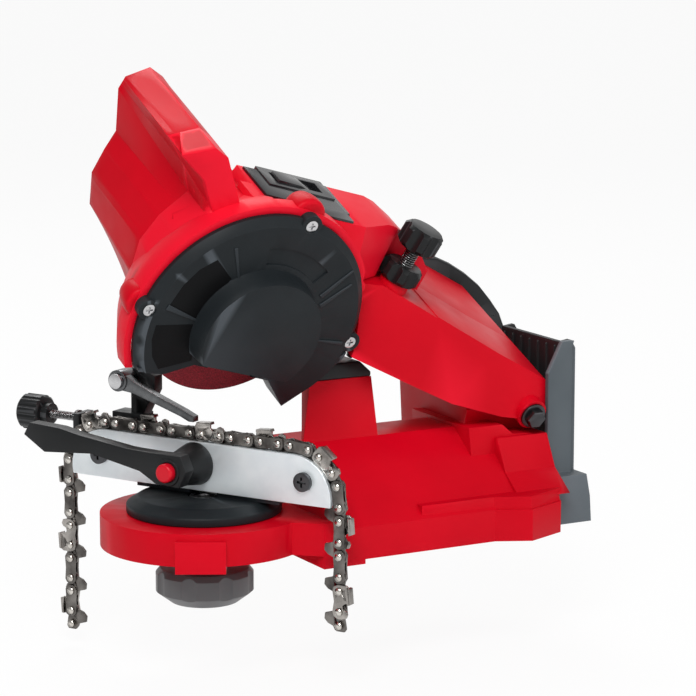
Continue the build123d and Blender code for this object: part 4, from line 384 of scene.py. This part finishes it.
def dress(name, node):
    """Give a CAD node its material, and round its edges with modifiers."""
    material = BY_NODE.get(name, BY_SLOT[slot_of[name]])
    for slot in node.material_slots:
        slot.material = material
    if not node.material_slots:
        node.data.materials.append(material)
    weld = node.modifiers.new("weld", "WELD")
    weld.merge_threshold = WELD_GAP
    if name not in NO_EDGE:
        bevel = round_edges(node, EDGE_BY_NODE.get(name, SMALL_EDGE), NODE_ANGLE)
        bevel.harden_normals = name not in FLAT
    shade_smooth(node.data, name not in FLAT)


for name, node in frame["nodes"].items():
    dress(name, node)

# ---------------------------------------------------------------- details on the head
FACE = 24.0               # front face of the wheel cover, in mm before the wheel plane
SINK = 0.3                # depth of an inlay or a rib in the cover, in mm
INLAY_RISE = 0.15         # height of an inlay over the cover, in mm
RIB_RISE = 0.8            # height of a rib over the cover, in mm
BUMP_STEPS = 24           # points round a swelling of the guard ring
BUMP_ROWS = (             # mm behind the wheel plane, share of the size, mm added to it
    (-16.9, 1.0, -1.2),
    (-15.4, 1.0, -0.2),
    (-12.0, 1.0, 0.0),
    (-6.0, 0.93, 0.0),
    (2.0, 0.7, 0.0),
)


def add_piece(name, work, material):
    """Smooth object made of a bmesh, with its material."""
    bmesh.ops.recalc_face_normals(work, faces=work.faces)
    mesh = bpy.data.meshes.new(name)
    work.to_mesh(mesh)
    work.free()
    piece = bpy.data.objects.new(name, mesh)
    bpy.context.scene.collection.objects.link(piece)
    mesh.materials.append(material)
    shade_smooth(mesh)
    return piece


def bridge(work, low, high):
    """Closed band of faces between two rings of as many points."""
    count = len(low)
    for i in range(count):
        j = (i + 1) % count
        work.faces.new((low[i], low[j], high[j], high[i]))


def head_prism(name, points, rise, material, edge):
    """Prism over an outline on the wheel cover, sunk a little in it, that rides on the head."""
    work = bmesh.new()
    bottom = [work.verts.new(head(x, v, SINK - FACE)) for x, v in points]
    top = [work.verts.new(head(x, v, -FACE - rise)) for x, v in points]
    work.faces.new(top)
    work.faces.new(list(reversed(bottom)))
    bridge(work, bottom, top)
    piece = add_piece(name, work, material)
    round_edges(piece, edge, PIECE_ANGLE)
    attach(piece, "head")


def taper(first, last, wide, narrow):
    """Four-cornered outline of a rib that narrows from its first point to its last."""
    a = Vector(first)
    b = Vector(last)
    run = (b - a).normalized()
    side = Vector((-run.y, run.x))
    corners = (a + side * wide, a - side * wide, b - side * narrow, b + side * narrow)
    return [tuple(corner) for corner in corners]


def ring_bump(name, x, v, size):
    """Rounded red swelling of the guard ring behind a screw lug of the cover."""
    work = bmesh.new()
    rows = []
    for behind, share, added in BUMP_ROWS:
        radius = size * share + added
        row = []
        for step in range(BUMP_STEPS):
            turn = FULL_TURN * step / BUMP_STEPS
            place = head(x + radius * math.cos(turn), v + radius * math.sin(turn), behind)
            row.append(work.verts.new(place))
        rows.append(row)
    for low, high in zip(rows, rows[1:]):
        bridge(work, low, high)
    work.faces.new(list(reversed(rows[0])))
    work.faces.new(rows[-1])
    piece = add_piece(name, work, red_plastic)
    smooth = piece.modifiers.new("round", "SUBSURF")
    smooth.levels = 1
    smooth.render_levels = 1
    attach(piece, "head")


INLAYS = [                # outlines of the dark fields between the cover's ribs: x, v in mm
    [
        (-53.5, 17.4), (-46.5, 31.5), (-38.8, 40.4), (-29.5, 45.6),
        (-19.0, 33.0), (-24.0, 26.0), (-29.0, 18.5), (-33.0, 7.4),
    ],
    [
        (-58.0, 8.0), (-31.2, 6.2), (-32.0, -1.1), (-33.0, -9.8),
        (-33.1, -16.6), (-51.8, -20.0), (-56.7, -12.0), (-58.9, -1.0),
    ],
]
RIBS = [                  # first point, last point, and half the width at each, in mm
    ((-20.2, 52.0), (-15.0, 33.0), 0.9, 0.5),
    ((-53.5, 18.9), (-34.0, 8.6), 1.6, 0.5),
    ((53.5, 32.0), (37.0, 17.0), 0.5, 1.2),
    ((54.5, 23.4), (38.0, 11.0), 0.5, 1.2),
    ((57.0, -14.6), (39.0, -10.6), 1.0, 0.5),
]
for number, outline in enumerate(INLAYS, 1):
    name = f"cover_inlay_{number}"
    head_prism(name, outline, INLAY_RISE, inlay_black, edge=0.1)
for number, rib in enumerate(RIBS, 1):
    name = f"cover_rib_{number}"
    head_prism(name, taper(*rib), RIB_RISE, dark_plastic, edge=0.35)
ring_bump("ring_bump_top", 24.0, 62.4, size=10.5)
ring_bump("ring_bump_left", -63.6, 16.8, size=9.6)

# ---------------------------------------------------------------- stage, light and camera
STAGE_HALF = 6.0          # half the width of the floor, and its reach to the front, in metres
STAGE_DEPTH = 4.0         # wall of the backdrop, behind the object, in metres
STAGE_RADIUS = 1.5        # curve between the floor and the wall, in metres
STAGE_STEPS = 24
STAGE_TOP = 6.0           # upper edge of the wall, in metres
STAGE_OWN_LIGHT = 0.92    # share of plain white in what the camera and gloss see of the stage
SKY = 0.38                # strength of the world's light


def backdrop_material():
    """Pale matt floor that looks nearly white, and still takes the object's shadow."""
    material, shader = new_material("backdrop")
    nodes = material.node_tree.nodes
    links = material.node_tree.links
    shader.inputs["Base Color"].default_value = (*grey(0.8), 1)
    shader.inputs["Roughness"].default_value = 0.9
    seen = nodes.new("ShaderNodeLightPath").outputs
    white = nodes.new("ShaderNodeEmission")
    white.inputs["Color"].default_value = (*grey(1), 1)
    white.inputs["Strength"].default_value = 1.0
    direct = operate(material, "MAXIMUM", seen["Is Camera Ray"], seen["Is Glossy Ray"])
    through = operate(material, "MAXIMUM", direct, seen["Is Transmission Ray"])
    mixer = nodes.new("ShaderNodeMixShader")
    links.new(operate(material, "MULTIPLY", through, STAGE_OWN_LIGHT), mixer.inputs[0])
    links.new(shader.outputs["BSDF"], mixer.inputs[1])
    links.new(white.outputs["Emission"], mixer.inputs[2])
    links.new(mixer.outputs["Shader"], first_node(material, "OUTPUT_MATERIAL").inputs["Surface"])
    return material


def backdrop():
    """Pale floor that curves up behind the object."""
    profile = [(-STAGE_HALF, BENCH), (STAGE_DEPTH - STAGE_RADIUS, BENCH)]
    for step in range(1, STAGE_STEPS + 1):
        turn = math.pi / 2 * step / STAGE_STEPS
        profile.append((
            STAGE_DEPTH - STAGE_RADIUS + STAGE_RADIUS * math.sin(turn),
            BENCH + STAGE_RADIUS * (1 - math.cos(turn)),
        ))
    profile.append((STAGE_DEPTH, STAGE_TOP))
    turned = Matrix.Rotation(AZIMUTH, 3, "Z")
    work = bmesh.new()
    rows = []
    for y, z in profile:
        ends = [turned @ Vector((side * STAGE_HALF, y, z)) for side in (-1, 1)]
        rows.append([work.verts.new(end) for end in ends])
    for low, high in zip(rows, rows[1:]):
        work.faces.new((low[0], low[1], high[1], high[0]))
    mesh = bpy.data.meshes.new("backdrop")
    work.to_mesh(mesh)
    work.free()
    shade_smooth(mesh)
    floor = bpy.data.objects.new("backdrop", mesh)
    bpy.context.scene.collection.objects.link(floor)
    mesh.materials.append(backdrop_material())


def area_light(name, place, size, power):
    """Soft rectangular lamp that looks at the object."""
    lamp = bpy.data.lights.new(name, "AREA")
    lamp.shape = "RECTANGLE"
    lamp.size, lamp.size_y = size
    lamp.energy = power
    holder = bpy.data.objects.new(name, lamp)
    bpy.context.scene.collection.objects.link(holder)
    holder.location = place
    holder.rotation_euler = (AIM - Vector(place)).to_track_quat("-Z", "Y").to_euler()


def world_light():
    """Even pale sky light."""
    world = bpy.data.worlds.new("studio")
    bpy.context.scene.world = world
    world.use_nodes = True
    background = world.node_tree.nodes["Background"]
    background.inputs["Color"].default_value = (*grey(1), 1)
    background.inputs["Strength"].default_value = SKY


def add_camera():
    """Camera of the photograph, which looks at AIM."""
    lens = bpy.data.cameras.new("camera")
    lens.sensor_width = SENSOR
    lens.lens = FOCAL_PX / PICTURE * SENSOR
    lens.clip_start = NEAR_CLIP
    lens.clip_end = FAR_CLIP
    camera = bpy.data.objects.new("camera", lens)
    bpy.context.scene.collection.objects.link(camera)
    back = Vector((
        math.sin(AZIMUTH) * math.cos(ELEVATION),
        -math.cos(AZIMUTH) * math.cos(ELEVATION),
        math.sin(ELEVATION),
    ))
    camera.location = AIM + back * DISTANCE
    camera.rotation_euler = back.to_track_quat("Z", "Y").to_euler()
    bpy.context.scene.camera = camera


backdrop()
world_light()
area_light("key", place=(-0.9, -1.3, 1.5), size=(0.9, 0.9), power=34.0)
area_light("fill", place=(0.9, -1.5, 0.7), size=(1.2, 1.2), power=7.0)
area_light("rim", place=(0.3, 1.2, 1.6), size=(1.2, 0.6), power=18.0)
add_camera()
bpy.context.scene.view_settings.view_transform = "Standard"
